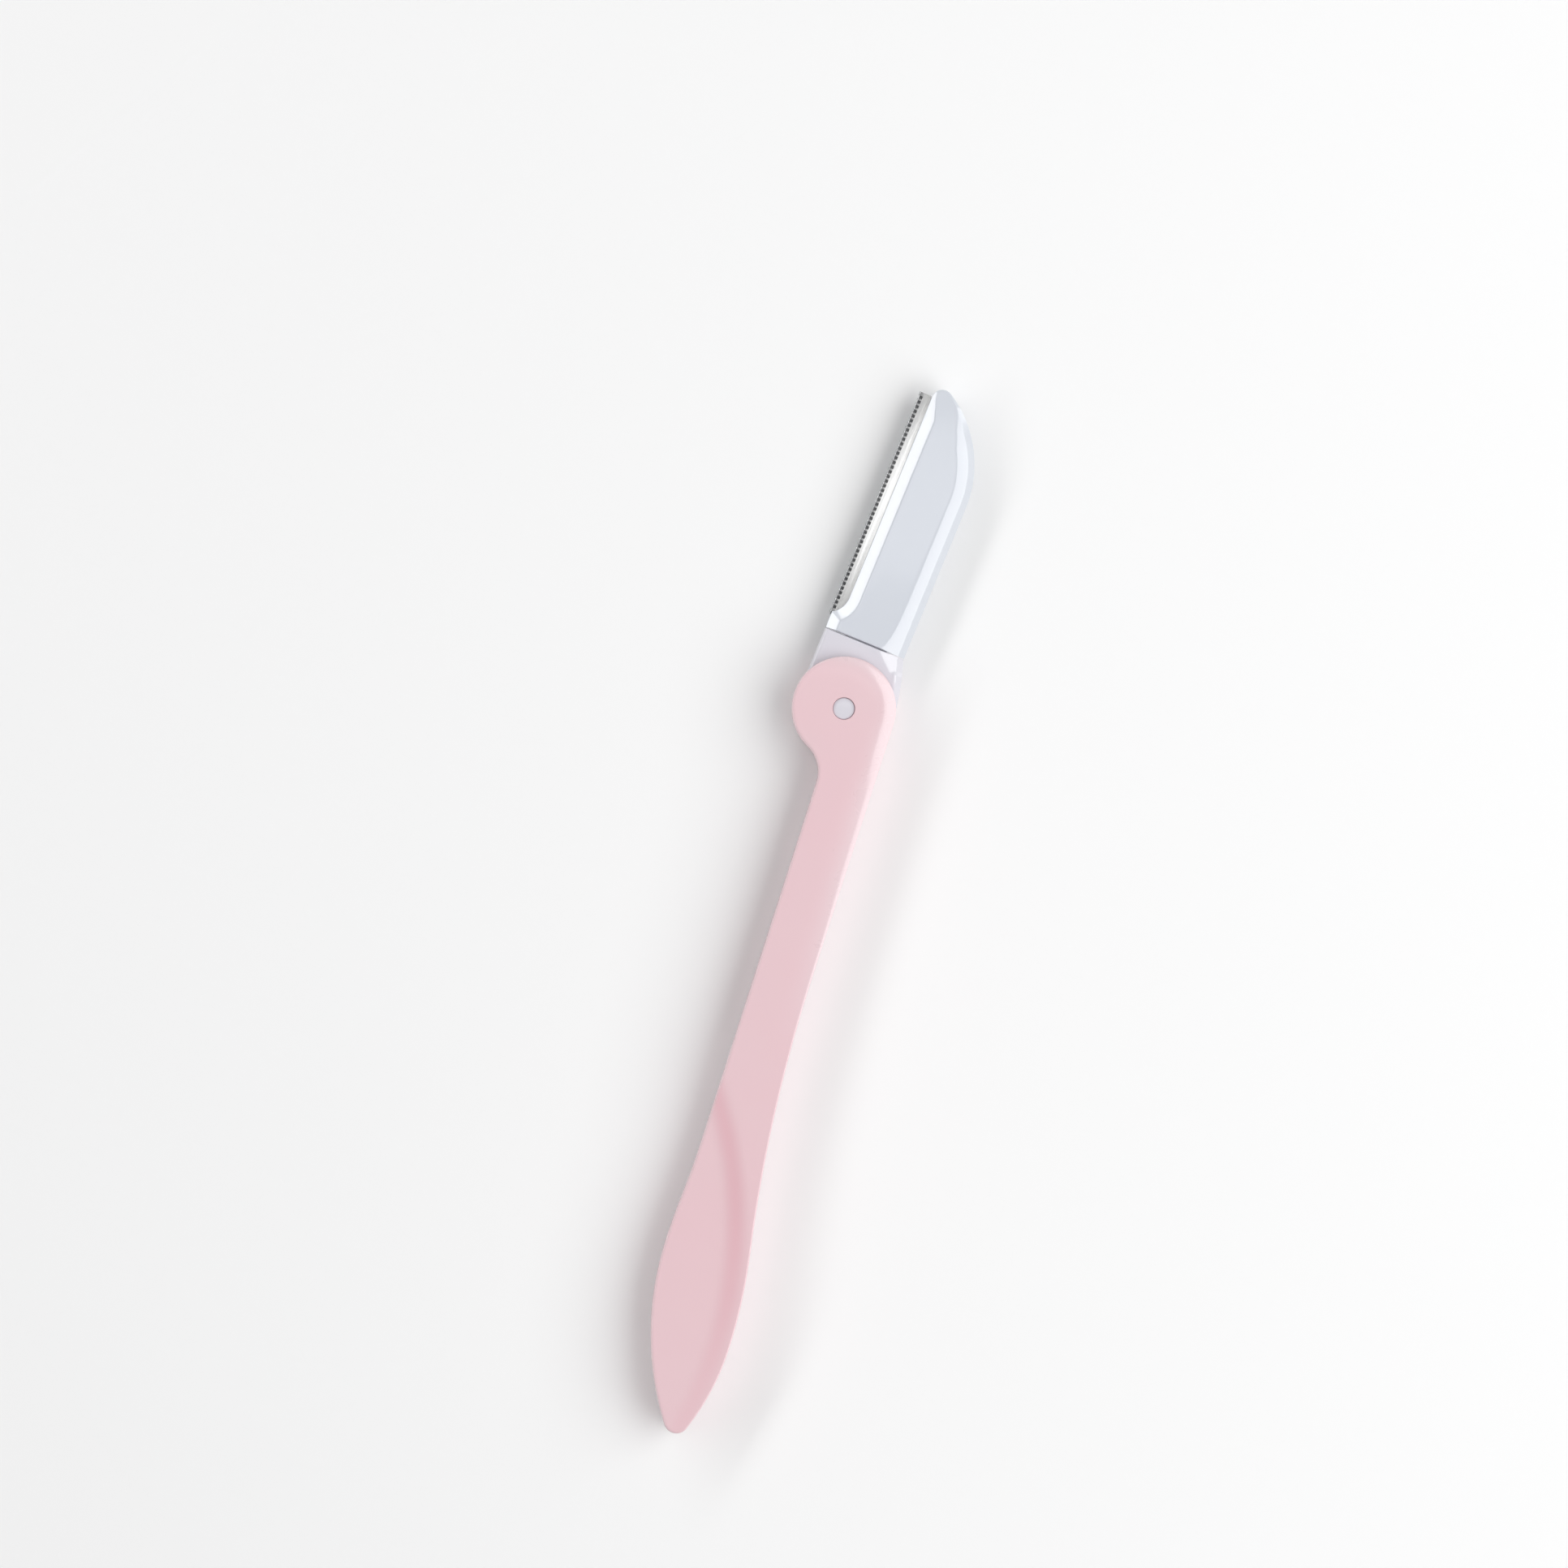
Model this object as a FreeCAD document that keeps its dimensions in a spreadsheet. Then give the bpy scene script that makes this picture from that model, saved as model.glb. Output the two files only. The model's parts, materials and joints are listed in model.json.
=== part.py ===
import FreeCAD, Part
import math
import os
import Sketcher
from FreeCAD import Placement, Rotation, Vector

# A folding eyebrow razor, lying open on its back with its face up.
# Two moulded shells make the handle: a round ear at the pivot, a slim grip and a leaf with a thumb dish.
# The blade head turns on a pin between the ears and folds, edge first, into a slot on the grip's edge side.
# Handle shapes are drawn along the grip from the pivot: x towards the spine side, y towards the head.
# Head shapes are drawn along the cutting edge from the pivot: x towards the spine side, y towards the tip.

SIZES = {
    # Handle outline
    "ear_radius": 7.25,
    "grip_width": 7.75,
    "waist_radius": 5.0,
    "leaf_length": 55.68,
    "leaf_tip_radius": 1.8,
    "leaf_tip_inset": 3.95,
    "leaf_edge_swell": 0.5,
    "leaf_spine_swell": 4.75,
    "leaf_edge_drop": 24.9,
    "leaf_spine_drop": 13.4,
    "leaf_edge_radius": 100.0,
    "leaf_spine_radius": 75.0,
    "flare_edge_radius": 100.0,
    "flare_spine_radius": 210.0,
    # Handle section
    "ear_wall": 1.8,
    "handle_edge_round": 1.2,
    "dish_radius": 58.0,
    "dish_inset": 1.7,
    "dish_run": 4.0,
    "dish_depth": 0.7,
    "cavity_wall": 1.7,
    "cavity_leaf_wall": 2.04,
    "cavity_skin": 1.1,
    "cavity_web": 8.0,
    "cavity_drop": 19.0,
    "peg_diameter": 1.6,
    "peg_height": 1.4,
    "peg_play": 0.05,
    "peg_spine_inset": 2.2,
    "peg_rise": 9.4,
    "peg_tip_rise": 7.2,
    # Pivot
    "pin_diameter": 3.0,
    "pin_head_rim": 1.0,
    "pin_head_height": 0.8,
    "pin_chamfer": 0.15,
    "pin_recess": 0.15,
    "pin_fit": 0.03,
    "pin_play": 0.05,
    "hole_chamfer": 0.2,
    # Fold
    "head_lean": 4.6,
    "fold_shortfall": 3.0,
    "stop_gap": 0.12,
    "slot_floor_play": 0.2,
    "slot_guard_room": 0.45,
    "slot_end_room": 0.9,
    # Blade carrier
    "tang_thickness": 3.0,
    "tang_play": 0.1,
    "tang_inset": 0.6,
    "tang_round": 0.9,
    "neck_length": 9.5,
    "heel_drop": 2.9,
    "heel_step": 0.6,
    "flank_radius": 40.0,
    "tongue_thickness": 1.2,
    "tongue_wall": 2.55,
    "tongue_tip_room": 6.7,
    "tongue_play": 0.05,
    # Head covers
    "joint_gap": 0.12,
    "head_tip_margin": 1.6,
    "cover_rim": 0.7,
    "spine_offset": 5.1,
    "spine_radius": 16.0,
    "head_tip_radius": 1.5,
    "edge_reveal": 1.5,
    "reveal_lead": 1.6,
    "reveal_radius": 3.2,
    "bevel_edge": 1.4,
    "bevel_spine": 2.3,
    "bevel_tip": 1.9,
    "face_spine_radius": 20.0,
    "face_tip_radius": 1.2,
    "post_diameter": 1.4,
    "post_height": 0.9,
    "post_play": 0.05,
    "post_inset": 6.5,
    # Blade and guard
    "blade_thickness": 0.3,
    "blade_width": 5.1,
    "blade_length": 33.2,
    "blade_tuck": 0.39,
    "blade_stand_out": 0.15,
    "blade_play": 0.02,
    "grind_width": 0.9,
    "edge_flat": 0.02,
    "guard_sheet": 0.12,
    "guard_stand_off": 0.1,
    "guard_gap": 0.05,
    "guard_end_gap": 0.2,
    "guard_hoop": 0.28,
    "guard_window": 0.42,
    "guard_window_depth": 0.67,
}

HALF_TURN = 180
FULL_TURN = 360
NEAR = 1e-4

document = FreeCAD.newDocument("eyebrow_razor")
sheet = document.addObject("Spreadsheet::Sheet", "Sizes")
for row, (alias, number) in enumerate(SIZES.items(), start=1):
    sheet.set(f"A{row}", alias)
    sheet.set(f"B{row}", str(number))
    sheet.setAlias(f"B{row}", alias)
document.recompute()


class Size:
    """A size known both as a number and as the sheet expression that gives it."""

    def __init__(self, number, text):
        self.number = number
        self.text = text

    def __add__(self, other):
        other = as_size(other)
        return Size(self.number + other.number, f"({self.text} + {other.text})")

    def __sub__(self, other):
        other = as_size(other)
        return Size(self.number - other.number, f"({self.text} - {other.text})")

    def __mul__(self, other):
        other = as_size(other)
        return Size(self.number * other.number, f"({self.text} * {other.text})")

    def __truediv__(self, other):
        other = as_size(other)
        return Size(self.number / other.number, f"({self.text} / {other.text})")

    def __neg__(self):
        return as_size(0) - self


def as_size(value):
    return value if isinstance(value, Size) else Size(value, repr(float(value)))


def root(size):
    return Size(math.sqrt(size.number), f"sqrt({size.text})")


def other_leg(slant, leg):
    """The second leg of a right triangle, from its slant and its first leg."""
    return root(slant * slant - leg * leg)


def sine(degrees):
    return Size(math.sin(math.radians(degrees.number)), f"sin({degrees.text} * 1 deg)")


def cosine(degrees):
    return Size(math.cos(math.radians(degrees.number)), f"cos({degrees.text} * 1 deg)")


def along(start, end, share):
    """The point a share of the way from start to end, past end where the share is over 1."""
    return tuple(as_size(a) + (as_size(b) - a) * share for a, b in zip(start, end))


sizes = {alias: Size(sheet.get(alias), f"Sizes.{alias}") for alias in SIZES}

# Angles of the fold
fold_angle = as_size(HALF_TURN) - sizes["fold_shortfall"]
slot_turn = fold_angle - sizes["head_lean"]

# Heights, from the tang in the middle out to the handle's faces
half_tang = sizes["tang_thickness"] / 2
half_slot = half_tang + sizes["tang_play"]
mid_height = half_slot + sizes["ear_wall"]
handle_thickness = mid_height * 2
half_blade = sizes["blade_thickness"] / 2
guard_inside = half_blade + sizes["blade_play"]
guard_outside = guard_inside + sizes["guard_sheet"]

# Lines along the head, from the spine side to the guard
tang_radius = sizes["ear_radius"] - sizes["tang_inset"]
reveal_line = sizes["edge_reveal"] - tang_radius
cutting_line = -(tang_radius + sizes["blade_stand_out"])
guard_line = cutting_line - sizes["guard_stand_off"] - sizes["guard_sheet"]
blade_back = cutting_line + sizes["blade_width"]
tongue_edge = blade_back + sizes["tongue_play"]
tongue_spine = sizes["spine_offset"] - sizes["tongue_wall"]


def reveal_height(radius):
    """How far the rounded start of the blade's opening rises while it crosses the reveal."""
    return other_leg(radius, radius - sizes["edge_reveal"])


# Places up the head, from the joint to the tip
cover_foot = sizes["neck_length"] + sizes["joint_gap"]
reveal_top = cover_foot + sizes["reveal_lead"] + reveal_height(sizes["reveal_radius"] + sizes["bevel_edge"])
blade_foot = reveal_top - reveal_height(sizes["reveal_radius"]) - sizes["blade_tuck"]
blade_top = blade_foot + sizes["blade_length"]
cover_top = blade_top + sizes["head_tip_margin"]
tongue_top = cover_top - sizes["tongue_tip_room"]
post_line = (cutting_line + blade_back + sizes["post_diameter"]) / 2
post_places = [(post_line, blade_foot + sizes["post_inset"]), (post_line, blade_top - sizes["post_inset"])]

# Places down the handle, from the slot to the leaf's tip
slot_end = cover_top + sizes["slot_end_room"]
handle_length = slot_end + sizes["leaf_length"]
grip_edge = sizes["grip_width"] - sizes["ear_radius"]
leaf_edge = -(grip_edge + sizes["leaf_edge_swell"])
leaf_spine = sizes["ear_radius"] + sizes["leaf_spine_swell"]
leaf_tip_x = leaf_spine - sizes["leaf_tip_inset"]
peg_places = [
    (sizes["ear_radius"] - sizes["peg_spine_inset"], sizes["peg_rise"] - slot_end),
    ((sizes["ear_radius"] - grip_edge) / 2, -(slot_end + sizes["cavity_web"] / 2)),
    (leaf_tip_x, sizes["peg_tip_rise"] - handle_length),
]


def bind(thing, name, size):
    thing.setExpression(name, size.text)


def new_body(label):
    body = document.addObject("PartDesign::Body", label)
    body.Label = label
    return body


def new_sketch(body, name, role="XY_Plane", shift=(0, 0, 0), turn=0):
    """A sketch on one of the body's own planes, shifted and turned in that plane's axes."""
    sketch = body.newObject("Sketcher::SketchObject", f"{body.Label}_{name}")
    plane = next(item for item in body.Origin.OriginFeatures if item.Role == role)
    sketch.AttachmentSupport = [(plane, "")]
    sketch.MapMode = "FlatFace"
    turn = as_size(turn)
    sketch.AttachmentOffset = Placement(Vector(0, 0, 0), Rotation(Vector(0, 0, 1), turn.number))
    bind(sketch, "AttachmentOffset.Rotation.Angle", turn)
    for axis, distance in zip("xyz", shift):
        bind(sketch, f"AttachmentOffset.Base.{axis}", as_size(distance))
    return sketch


def fix(sketch, kind, place, size):
    """A driven constraint: place is the geometry, and the point on it where there is one."""
    index = sketch.addConstraint(Sketcher.Constraint(kind, *place, size.number))
    sketch.renameConstraint(index, f"{kind}_{index}")
    bind(sketch, f"Constraints.{kind}_{index}", size)


def arc_between(start, end, radius, turn, long_way):
    """The arc from start to end that turns left or right, with the points where it begins and ends."""
    chord = end - start
    height = math.sqrt(max(radius ** 2 - (chord.Length / 2) ** 2, 0))
    to_left = Vector(-chord.y, chord.x, 0).normalize()
    side = 1 if (turn == "left") != long_way else -1
    centre = (start + end) / 2 + to_left * height * side
    first, last = (start, end) if turn == "left" else (end, start)
    angles = [math.atan2(point.y - centre.y, point.x - centre.x) for point in (first, last)]
    if angles[1] <= angles[0]:
        angles[1] += 2 * math.pi
    circle = Part.Circle(centre, Vector(0, 0, 1), radius)
    return Part.ArcOfCircle(circle, *angles)


def draw(sketch, corners):
    """A closed outline. A corner is x, y and, where an arc follows, its radius, turn and any long way."""
    points = [Vector(as_size(corner[0]).number, as_size(corner[1]).number, 0) for corner in corners]
    ends = []
    for index, corner in enumerate(corners):
        start, end = points[index], points[(index + 1) % len(corners)]
        if len(corner) == 2:
            geometry = sketch.addGeometry(Part.LineSegment(start, end))
            ends.append((geometry, 1, 2))
            continue
        radius, turn = corner[2:4]
        arc = arc_between(start, end, radius.number, turn, "long" in corner[4:])
        geometry = sketch.addGeometry(arc)
        ends.append((geometry, 1, 2) if turn == "left" else (geometry, 2, 1))
    for index, (geometry, first, last) in enumerate(ends):
        following, following_first, _ = ends[(index + 1) % len(ends)]
        sketch.addConstraint(Sketcher.Constraint("Coincident", geometry, last, following, following_first))
    for corner, (geometry, first, _) in zip(corners, ends):
        fix(sketch, "DistanceX", (geometry, first), as_size(corner[0]))
        fix(sketch, "DistanceY", (geometry, first), as_size(corner[1]))
        if len(corner) > 2:
            fix(sketch, "Radius", (geometry,), corner[2])
    return sketch


def draw_circles(sketch, centres, radius):
    for x, y in centres:
        centre = Vector(as_size(x).number, as_size(y).number, 0)
        circle = sketch.addGeometry(Part.Circle(centre, Vector(0, 0, 1), radius.number))
        fix(sketch, "DistanceX", (circle, 3), as_size(x))
        fix(sketch, "DistanceY", (circle, 3), as_size(y))
        fix(sketch, "Radius", (circle,), radius)
    return sketch


def rectangle(left, right, foot, top):
    return [(left, foot), (right, foot), (right, top), (left, top)]


def pad(body, sketch, length, reverse=False, both_ways=False):
    feature = body.newObject("PartDesign::Pad", f"{sketch.Name}_pad")
    feature.Profile = sketch
    feature.Reversed = reverse
    feature.SideType = "Symmetric" if both_ways else "One side"
    bind(feature, "Length", length)
    document.recompute()
    return feature


def cut_volume(body, feature, before):
    """Stop where a cut took nothing away."""
    document.recompute()
    if feature.Shape.Volume > before - NEAR:
        raise RuntimeError(f"{feature.Name} cuts nothing from {body.Label}")
    return feature


def pocket(body, sketch, depth=None, upward=False):
    """A pocket of the given depth, up or down from its sketch, or right through both ways."""
    before = body.Shape.Volume
    feature = body.newObject("PartDesign::Pocket", f"{sketch.Name}_pocket")
    feature.Profile = sketch
    if depth is None:
        feature.SideType = "Symmetric"
        feature.Type = "ThroughAll"
    else:
        feature.Reversed = upward
        bind(feature, "Length", depth)
    return cut_volume(body, feature, before)


def revolve(body, sketch, kind):
    """A revolution, or a groove, about the sketch's upright axis."""
    before = body.Shape.Volume if kind == "Groove" else None
    feature = body.newObject(f"PartDesign::{kind}", f"{sketch.Name}_{kind.lower()}")
    feature.Profile = sketch
    feature.ReferenceAxis = (sketch, ["V_Axis"])
    feature.Angle = FULL_TURN
    document.recompute()
    return cut_volume(body, feature, before) if kind == "Groove" else feature


def dress(body, kind, name, size, wanted):
    """A fillet or chamfer on the edges of the body that are wanted."""
    base = body.Tip
    edges = [f"Edge{index}" for index, edge in enumerate(base.Shape.Edges, start=1) if wanted(edge)]
    feature = body.newObject(f"PartDesign::{kind}", f"{body.Label}_{name}")
    feature.Base = (base, edges)
    bind(feature, "Radius" if kind == "Fillet" else "Size", size)
    document.recompute()
    return feature


def lies_at(edge, height):
    box = edge.BoundBox
    return abs(box.ZMin - height.number) < NEAR and abs(box.ZMax - height.number) < NEAR


def is_round(edge, radius):
    return isinstance(edge.Curve, Part.Circle) and abs(edge.Curve.Radius - radius.number) < NEAR


def handle_outline():
    """The handle seen from its face: ear, waist, grip, leaf and back up the spine side."""
    ear, waist, tip = sizes["ear_radius"], sizes["waist_radius"], sizes["leaf_tip_radius"]
    edge_bend, edge_leaf = sizes["flare_edge_radius"], sizes["leaf_edge_radius"]
    spine_bend, spine_leaf = sizes["flare_spine_radius"], sizes["leaf_spine_radius"]

    waist_centre = (-(grip_edge + waist), -other_leg(ear + waist, grip_edge + waist))
    tip_centre = (leaf_tip_x, tip - handle_length)

    edge_widest = sizes["leaf_edge_drop"] - handle_length
    edge_centre = (leaf_edge + edge_leaf, edge_widest)
    edge_rise = other_leg(edge_bend + edge_leaf, edge_bend + edge_leaf - sizes["leaf_edge_swell"])
    edge_bend_centre = (-(grip_edge + edge_bend), edge_widest + edge_rise)
    edge_turn = along(edge_bend_centre, edge_centre, edge_bend / (edge_bend + edge_leaf))

    spine_widest = sizes["leaf_spine_drop"] - handle_length
    spine_centre = (leaf_spine - spine_leaf, spine_widest)
    spine_rise = other_leg(spine_bend + spine_leaf, spine_bend + spine_leaf - sizes["leaf_spine_swell"])
    spine_bend_centre = (ear + spine_bend, spine_widest + spine_rise)
    spine_turn = along(spine_bend_centre, spine_centre, spine_bend / (spine_bend + spine_leaf))

    def end_radius(reach, drop):
        """Radius of the arc from the widest point, reach and drop away from the tip's centre, to the tip."""
        return (reach * reach + drop * drop - tip * tip) / ((reach - tip) * 2)

    edge_end = end_radius(tip_centre[0] - leaf_edge, edge_widest - tip_centre[1])
    spine_end = end_radius(leaf_spine - tip_centre[0], spine_widest - tip_centre[1])
    edge_end_centre = (leaf_edge + edge_end, edge_widest)
    spine_end_centre = (leaf_spine - spine_end, spine_widest)
    edge_meets_tip = along(edge_end_centre, tip_centre, edge_end / (edge_end - tip))
    spine_meets_tip = along(spine_end_centre, tip_centre, spine_end / (spine_end - tip))

    return [
        (ear, 0, ear, "left", "long"),
        (*along((0, 0), waist_centre, ear / (ear + waist)), waist, "right"),
        (-grip_edge, waist_centre[1]),
        (-grip_edge, edge_bend_centre[1], edge_bend, "right"),
        (*edge_turn, edge_leaf, "left"),
        (leaf_edge, edge_widest, edge_end, "left"),
        (*edge_meets_tip, tip, "left"),
        (*spine_meets_tip, spine_end, "left"),
        (leaf_spine, spine_widest, spine_leaf, "left"),
        (*spine_turn, spine_bend, "right"),
        (ear, spine_bend_centre[1]),
    ]


def slot_outline():
    """The slot in the folded head's own axes: open over the ear and on the edge side."""
    far = sizes["ear_radius"] * 2
    tang_floor = tang_radius + sizes["slot_floor_play"]
    guard_floor = sizes["slot_guard_room"] - guard_line
    heel_stop = sizes["heel_drop"] + sizes["stop_gap"] - tang_floor * sine(fold_angle)
    spine_top = heel_stop / -cosine(fold_angle)
    return [
        (-far, spine_top),
        (-tang_floor, spine_top),
        (-tang_floor, sizes["neck_length"]),
        (-guard_floor, sizes["neck_length"]),
        (-guard_floor, slot_end),
        (far, slot_end),
        (far, -far),
        (-far, -far),
    ]


def cavity_outline():
    """The hollow inside the leaf: two rounds, one in the grip and one in the leaf, and their tangents."""
    small = sizes["grip_width"] / 2 - sizes["cavity_wall"]
    large = (leaf_spine - leaf_edge) / 2 - sizes["cavity_leaf_wall"]
    top_x = (sizes["ear_radius"] - grip_edge) / 2
    top_y = -(slot_end + sizes["cavity_web"] + small)
    low_x = (leaf_edge + leaf_spine) / 2
    low_y = sizes["cavity_drop"] - handle_length
    span_x, span_y = low_x - top_x, low_y - top_y
    span = root(span_x * span_x + span_y * span_y)
    slope = (large - small) / span
    spread = root(as_size(1) - slope * slope)
    unit_x, unit_y = span_x / span, span_y / span

    def touch(centre_x, centre_y, radius, side):
        normal_x = -(unit_x * slope) + unit_y * spread * side
        normal_y = -(unit_y * slope) - unit_x * spread * side
        return centre_x + normal_x * radius, centre_y + normal_y * radius

    return [
        touch(top_x, top_y, small, 1),
        (*touch(low_x, low_y, large, 1), large, "left", "long"),
        touch(low_x, low_y, large, -1),
        (*touch(top_x, top_y, small, -1), small, "left"),
    ]


def handle_shell(label, is_front):
    """One half of the handle, from the middle out, with its half of the slot and of the hollow."""
    body = new_body(label)
    foot = mid_height if is_front else as_size(0)
    outer = handle_thickness if is_front else as_size(0)
    pad(body, draw(new_sketch(body, "outline", shift=(0, 0, foot)), handle_outline()), mid_height)
    dress(body, "Fillet", "edge_round", sizes["handle_edge_round"], lambda edge: lies_at(edge, outer))
    if is_front:
        thumb_dish(body)
    slot = draw(new_sketch(body, "slot", shift=(0, 0, mid_height), turn=slot_turn), slot_outline())
    pocket(body, slot, half_slot, upward=is_front)
    hollow = draw(new_sketch(body, "hollow", shift=(0, 0, mid_height)), cavity_outline())
    pocket(body, hollow, mid_height - sizes["dish_depth"] - sizes["cavity_skin"], upward=is_front)
    bore = sizes["pin_diameter"] / 2 + sizes["pin_fit"]
    pocket(body, draw_circles(new_sketch(body, "bore", shift=(0, 0, mid_height)), [(0, 0)], bore))
    return body


def thumb_dish(body):
    """A shallow scoop over the leaf, turned about an upright axis far out on the edge side."""
    axis_x = leaf_spine - sizes["dish_inset"] - sizes["dish_radius"]
    axis_y = sizes["leaf_spine_drop"] - handle_length
    run, depth, rim = sizes["dish_run"], sizes["dish_depth"], sizes["dish_radius"]
    face = handle_thickness
    bend = (run * run + depth * depth) / (depth * 2)
    far = rim / 2
    profile = [
        (far, face - depth),
        (rim - run, face - depth, bend, "left"),
        (rim, face),
        (rim, face + depth),
        (far, face + depth),
    ]
    sketch = new_sketch(body, "dish", "XZ_Plane", shift=(axis_x, 0, -axis_y))
    revolve(body, draw(sketch, profile), "Groove")


def handle_front_shell():
    body = handle_shell("handle_front_shell", True)
    socket = sizes["peg_diameter"] / 2 + sizes["peg_play"]
    sockets = draw_circles(new_sketch(body, "sockets", shift=(0, 0, mid_height)), peg_places, socket)
    pocket(body, sockets, sizes["peg_height"] + sizes["peg_play"], upward=True)
    bore = sizes["pin_diameter"] / 2 + sizes["pin_fit"]

    def bore_rim(edge):
        return lies_at(edge, handle_thickness) and is_round(edge, bore)

    dress(body, "Chamfer", "bore_rim", sizes["hole_chamfer"], bore_rim)
    return body


def handle_back_shell():
    body = handle_shell("handle_back_shell", False)
    sketch = new_sketch(body, "pegs", shift=(0, 0, mid_height - sizes["peg_height"]))
    pegs = draw_circles(sketch, peg_places, sizes["peg_diameter"] / 2)
    pad(body, pegs, sizes["peg_height"] * 2)
    seat_radius = sizes["pin_diameter"] / 2 + sizes["pin_head_rim"] + sizes["pin_fit"]
    seat = draw_circles(new_sketch(body, "pin_seat"), [(0, 0)], seat_radius)
    pocket(body, seat, sizes["pin_recess"] + sizes["pin_head_height"], upward=True)
    return body


def pivot_pin():
    """A headed pin, pushed in from the back until its head seats, its end just below the face."""
    body = new_body("pivot_pin")
    foot = sizes["pin_recess"]
    top = handle_thickness - sizes["pin_recess"]
    shank = sizes["pin_diameter"] / 2
    head = shank + sizes["pin_head_rim"]
    shoulder = foot + sizes["pin_head_height"]
    profile = [
        (0, foot),
        (head - sizes["pin_chamfer"], foot),
        (head, foot + sizes["pin_chamfer"]),
        (head, shoulder),
        (shank, shoulder),
        (shank, top - sizes["pin_chamfer"]),
        (shank - sizes["pin_chamfer"], top),
        (0, top),
    ]
    revolve(body, draw(new_sketch(body, "profile", "XZ_Plane"), profile), "Revolution")
    return body


def blade_carrier():
    """The tang that turns on the pin, with the tongue that carries the head."""
    body = new_body("blade_carrier")
    heel = other_leg(tang_radius, sizes["heel_drop"])
    tang = [
        (sizes["spine_offset"], sizes["neck_length"]),
        (-tang_radius, sizes["neck_length"]),
        (-tang_radius, 0, tang_radius, "left"),
        (heel, -sizes["heel_drop"]),
        (tang_radius + sizes["heel_step"], -sizes["heel_drop"], sizes["flank_radius"], "left"),
    ]
    outline = draw(new_sketch(body, "tang", shift=(0, 0, mid_height)), tang)
    pad(body, outline, sizes["tang_thickness"], both_ways=True)
    faces = [mid_height - half_tang, mid_height + half_tang]

    def long_edge(edge):
        at_joint = abs(edge.CenterOfMass.y - sizes["neck_length"].number) < NEAR
        return any(lies_at(edge, face) for face in faces) and not at_joint

    dress(body, "Fillet", "tang_round", sizes["tang_round"], long_edge)
    tongue = rectangle(tongue_edge, tongue_spine, sizes["neck_length"] - half_tang, tongue_top)
    sketch = draw(new_sketch(body, "tongue", shift=(0, 0, mid_height)), tongue)
    pad(body, sketch, sizes["tongue_thickness"], both_ways=True)
    bore = sizes["pin_diameter"] / 2 + sizes["pin_play"]
    pocket(body, draw_circles(new_sketch(body, "bore", shift=(0, 0, mid_height)), [(0, 0)], bore))
    return body


def cover_outline(inset_edge, inset_spine, inset_tip, spine_radius, tip_radius):
    """The head seen from its face, drawn in by its bevels, with the rounded start of the blade's opening."""
    spine = sizes["spine_offset"] - inset_spine
    edge = reveal_line + inset_edge
    wide_edge = inset_edge - tang_radius
    tip_centre = (edge + tip_radius, cover_top - inset_tip - tip_radius)
    spine_centre_x = spine - spine_radius
    spine_centre_y = tip_centre[1] - other_leg(spine_radius - tip_radius, spine_centre_x - tip_centre[0])
    spine_meets_tip = along(
        (spine_centre_x, spine_centre_y), tip_centre, spine_radius / (spine_radius - tip_radius)
    )
    reveal = sizes["reveal_radius"] + inset_edge
    reveal_foot = reveal_top - reveal_height(reveal)
    return [
        (spine, cover_foot),
        (spine, spine_centre_y, spine_radius, "left"),
        (*spine_meets_tip, tip_radius, "left"),
        (edge, tip_centre[1]),
        (edge, reveal_top, reveal, "right"),
        (wide_edge, reveal_foot),
        (wide_edge, cover_foot),
    ]


def head_cover(label, is_front):
    """Half of the head: a rim and a bevelled face outside, seats for tongue and blade inside."""
    body = new_body(label)
    side = 1 if is_front else -1
    none = as_size(0)
    rim = cover_outline(none, none, none, sizes["spine_radius"], sizes["head_tip_radius"])
    bevels = [sizes["bevel_edge"], sizes["bevel_spine"], sizes["bevel_tip"]]
    face = cover_outline(*bevels, sizes["face_spine_radius"], sizes["face_tip_radius"])
    sketch = draw(new_sketch(body, "rim", shift=(0, 0, mid_height)), rim)
    pad(body, sketch, sizes["cover_rim"], reverse=not is_front)
    rim_height = mid_height + sizes["cover_rim"] * side
    face_height = mid_height + half_tang * side
    loft = body.newObject("PartDesign::AdditiveLoft", f"{label}_bevel")
    loft.Profile = draw(new_sketch(body, "bevel_foot", shift=(0, 0, rim_height)), rim)
    loft.Sections = [draw(new_sketch(body, "bevel_top", shift=(0, 0, face_height)), face)]
    loft.Ruled = True
    document.recompute()

    play = sizes["tongue_play"]
    tongue_seat = rectangle(tongue_edge - play, tongue_spine + play, sizes["neck_length"], tongue_top + play)
    sketch = draw(new_sketch(body, "tongue_seat", shift=(0, 0, mid_height)), tongue_seat)
    pocket(body, sketch, sizes["tongue_thickness"] / 2 + play, upward=is_front)
    outside = guard_line - sizes["edge_reveal"]
    blade_seat = rectangle(outside, blade_back + play, blade_foot - play, blade_top + play)
    sketch = draw(new_sketch(body, "blade_seat", shift=(0, 0, mid_height)), blade_seat)
    pocket(body, sketch, guard_inside, upward=is_front)
    return body


def head_front_cover():
    body = head_cover("head_front_cover", True)
    socket = sizes["post_diameter"] / 2 + sizes["post_play"]
    sketch = draw_circles(new_sketch(body, "sockets", shift=(0, 0, mid_height)), post_places, socket)
    pocket(body, sketch, sizes["post_height"] + sizes["post_play"], upward=True)
    return body


def head_back_cover():
    body = head_cover("head_back_cover", False)
    foot = mid_height - guard_inside * 2
    sketch = new_sketch(body, "posts", shift=(0, 0, foot))
    posts = draw_circles(sketch, post_places, sizes["post_diameter"] / 2)
    pad(body, posts, guard_inside * 2 + sizes["post_height"])
    return body


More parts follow.
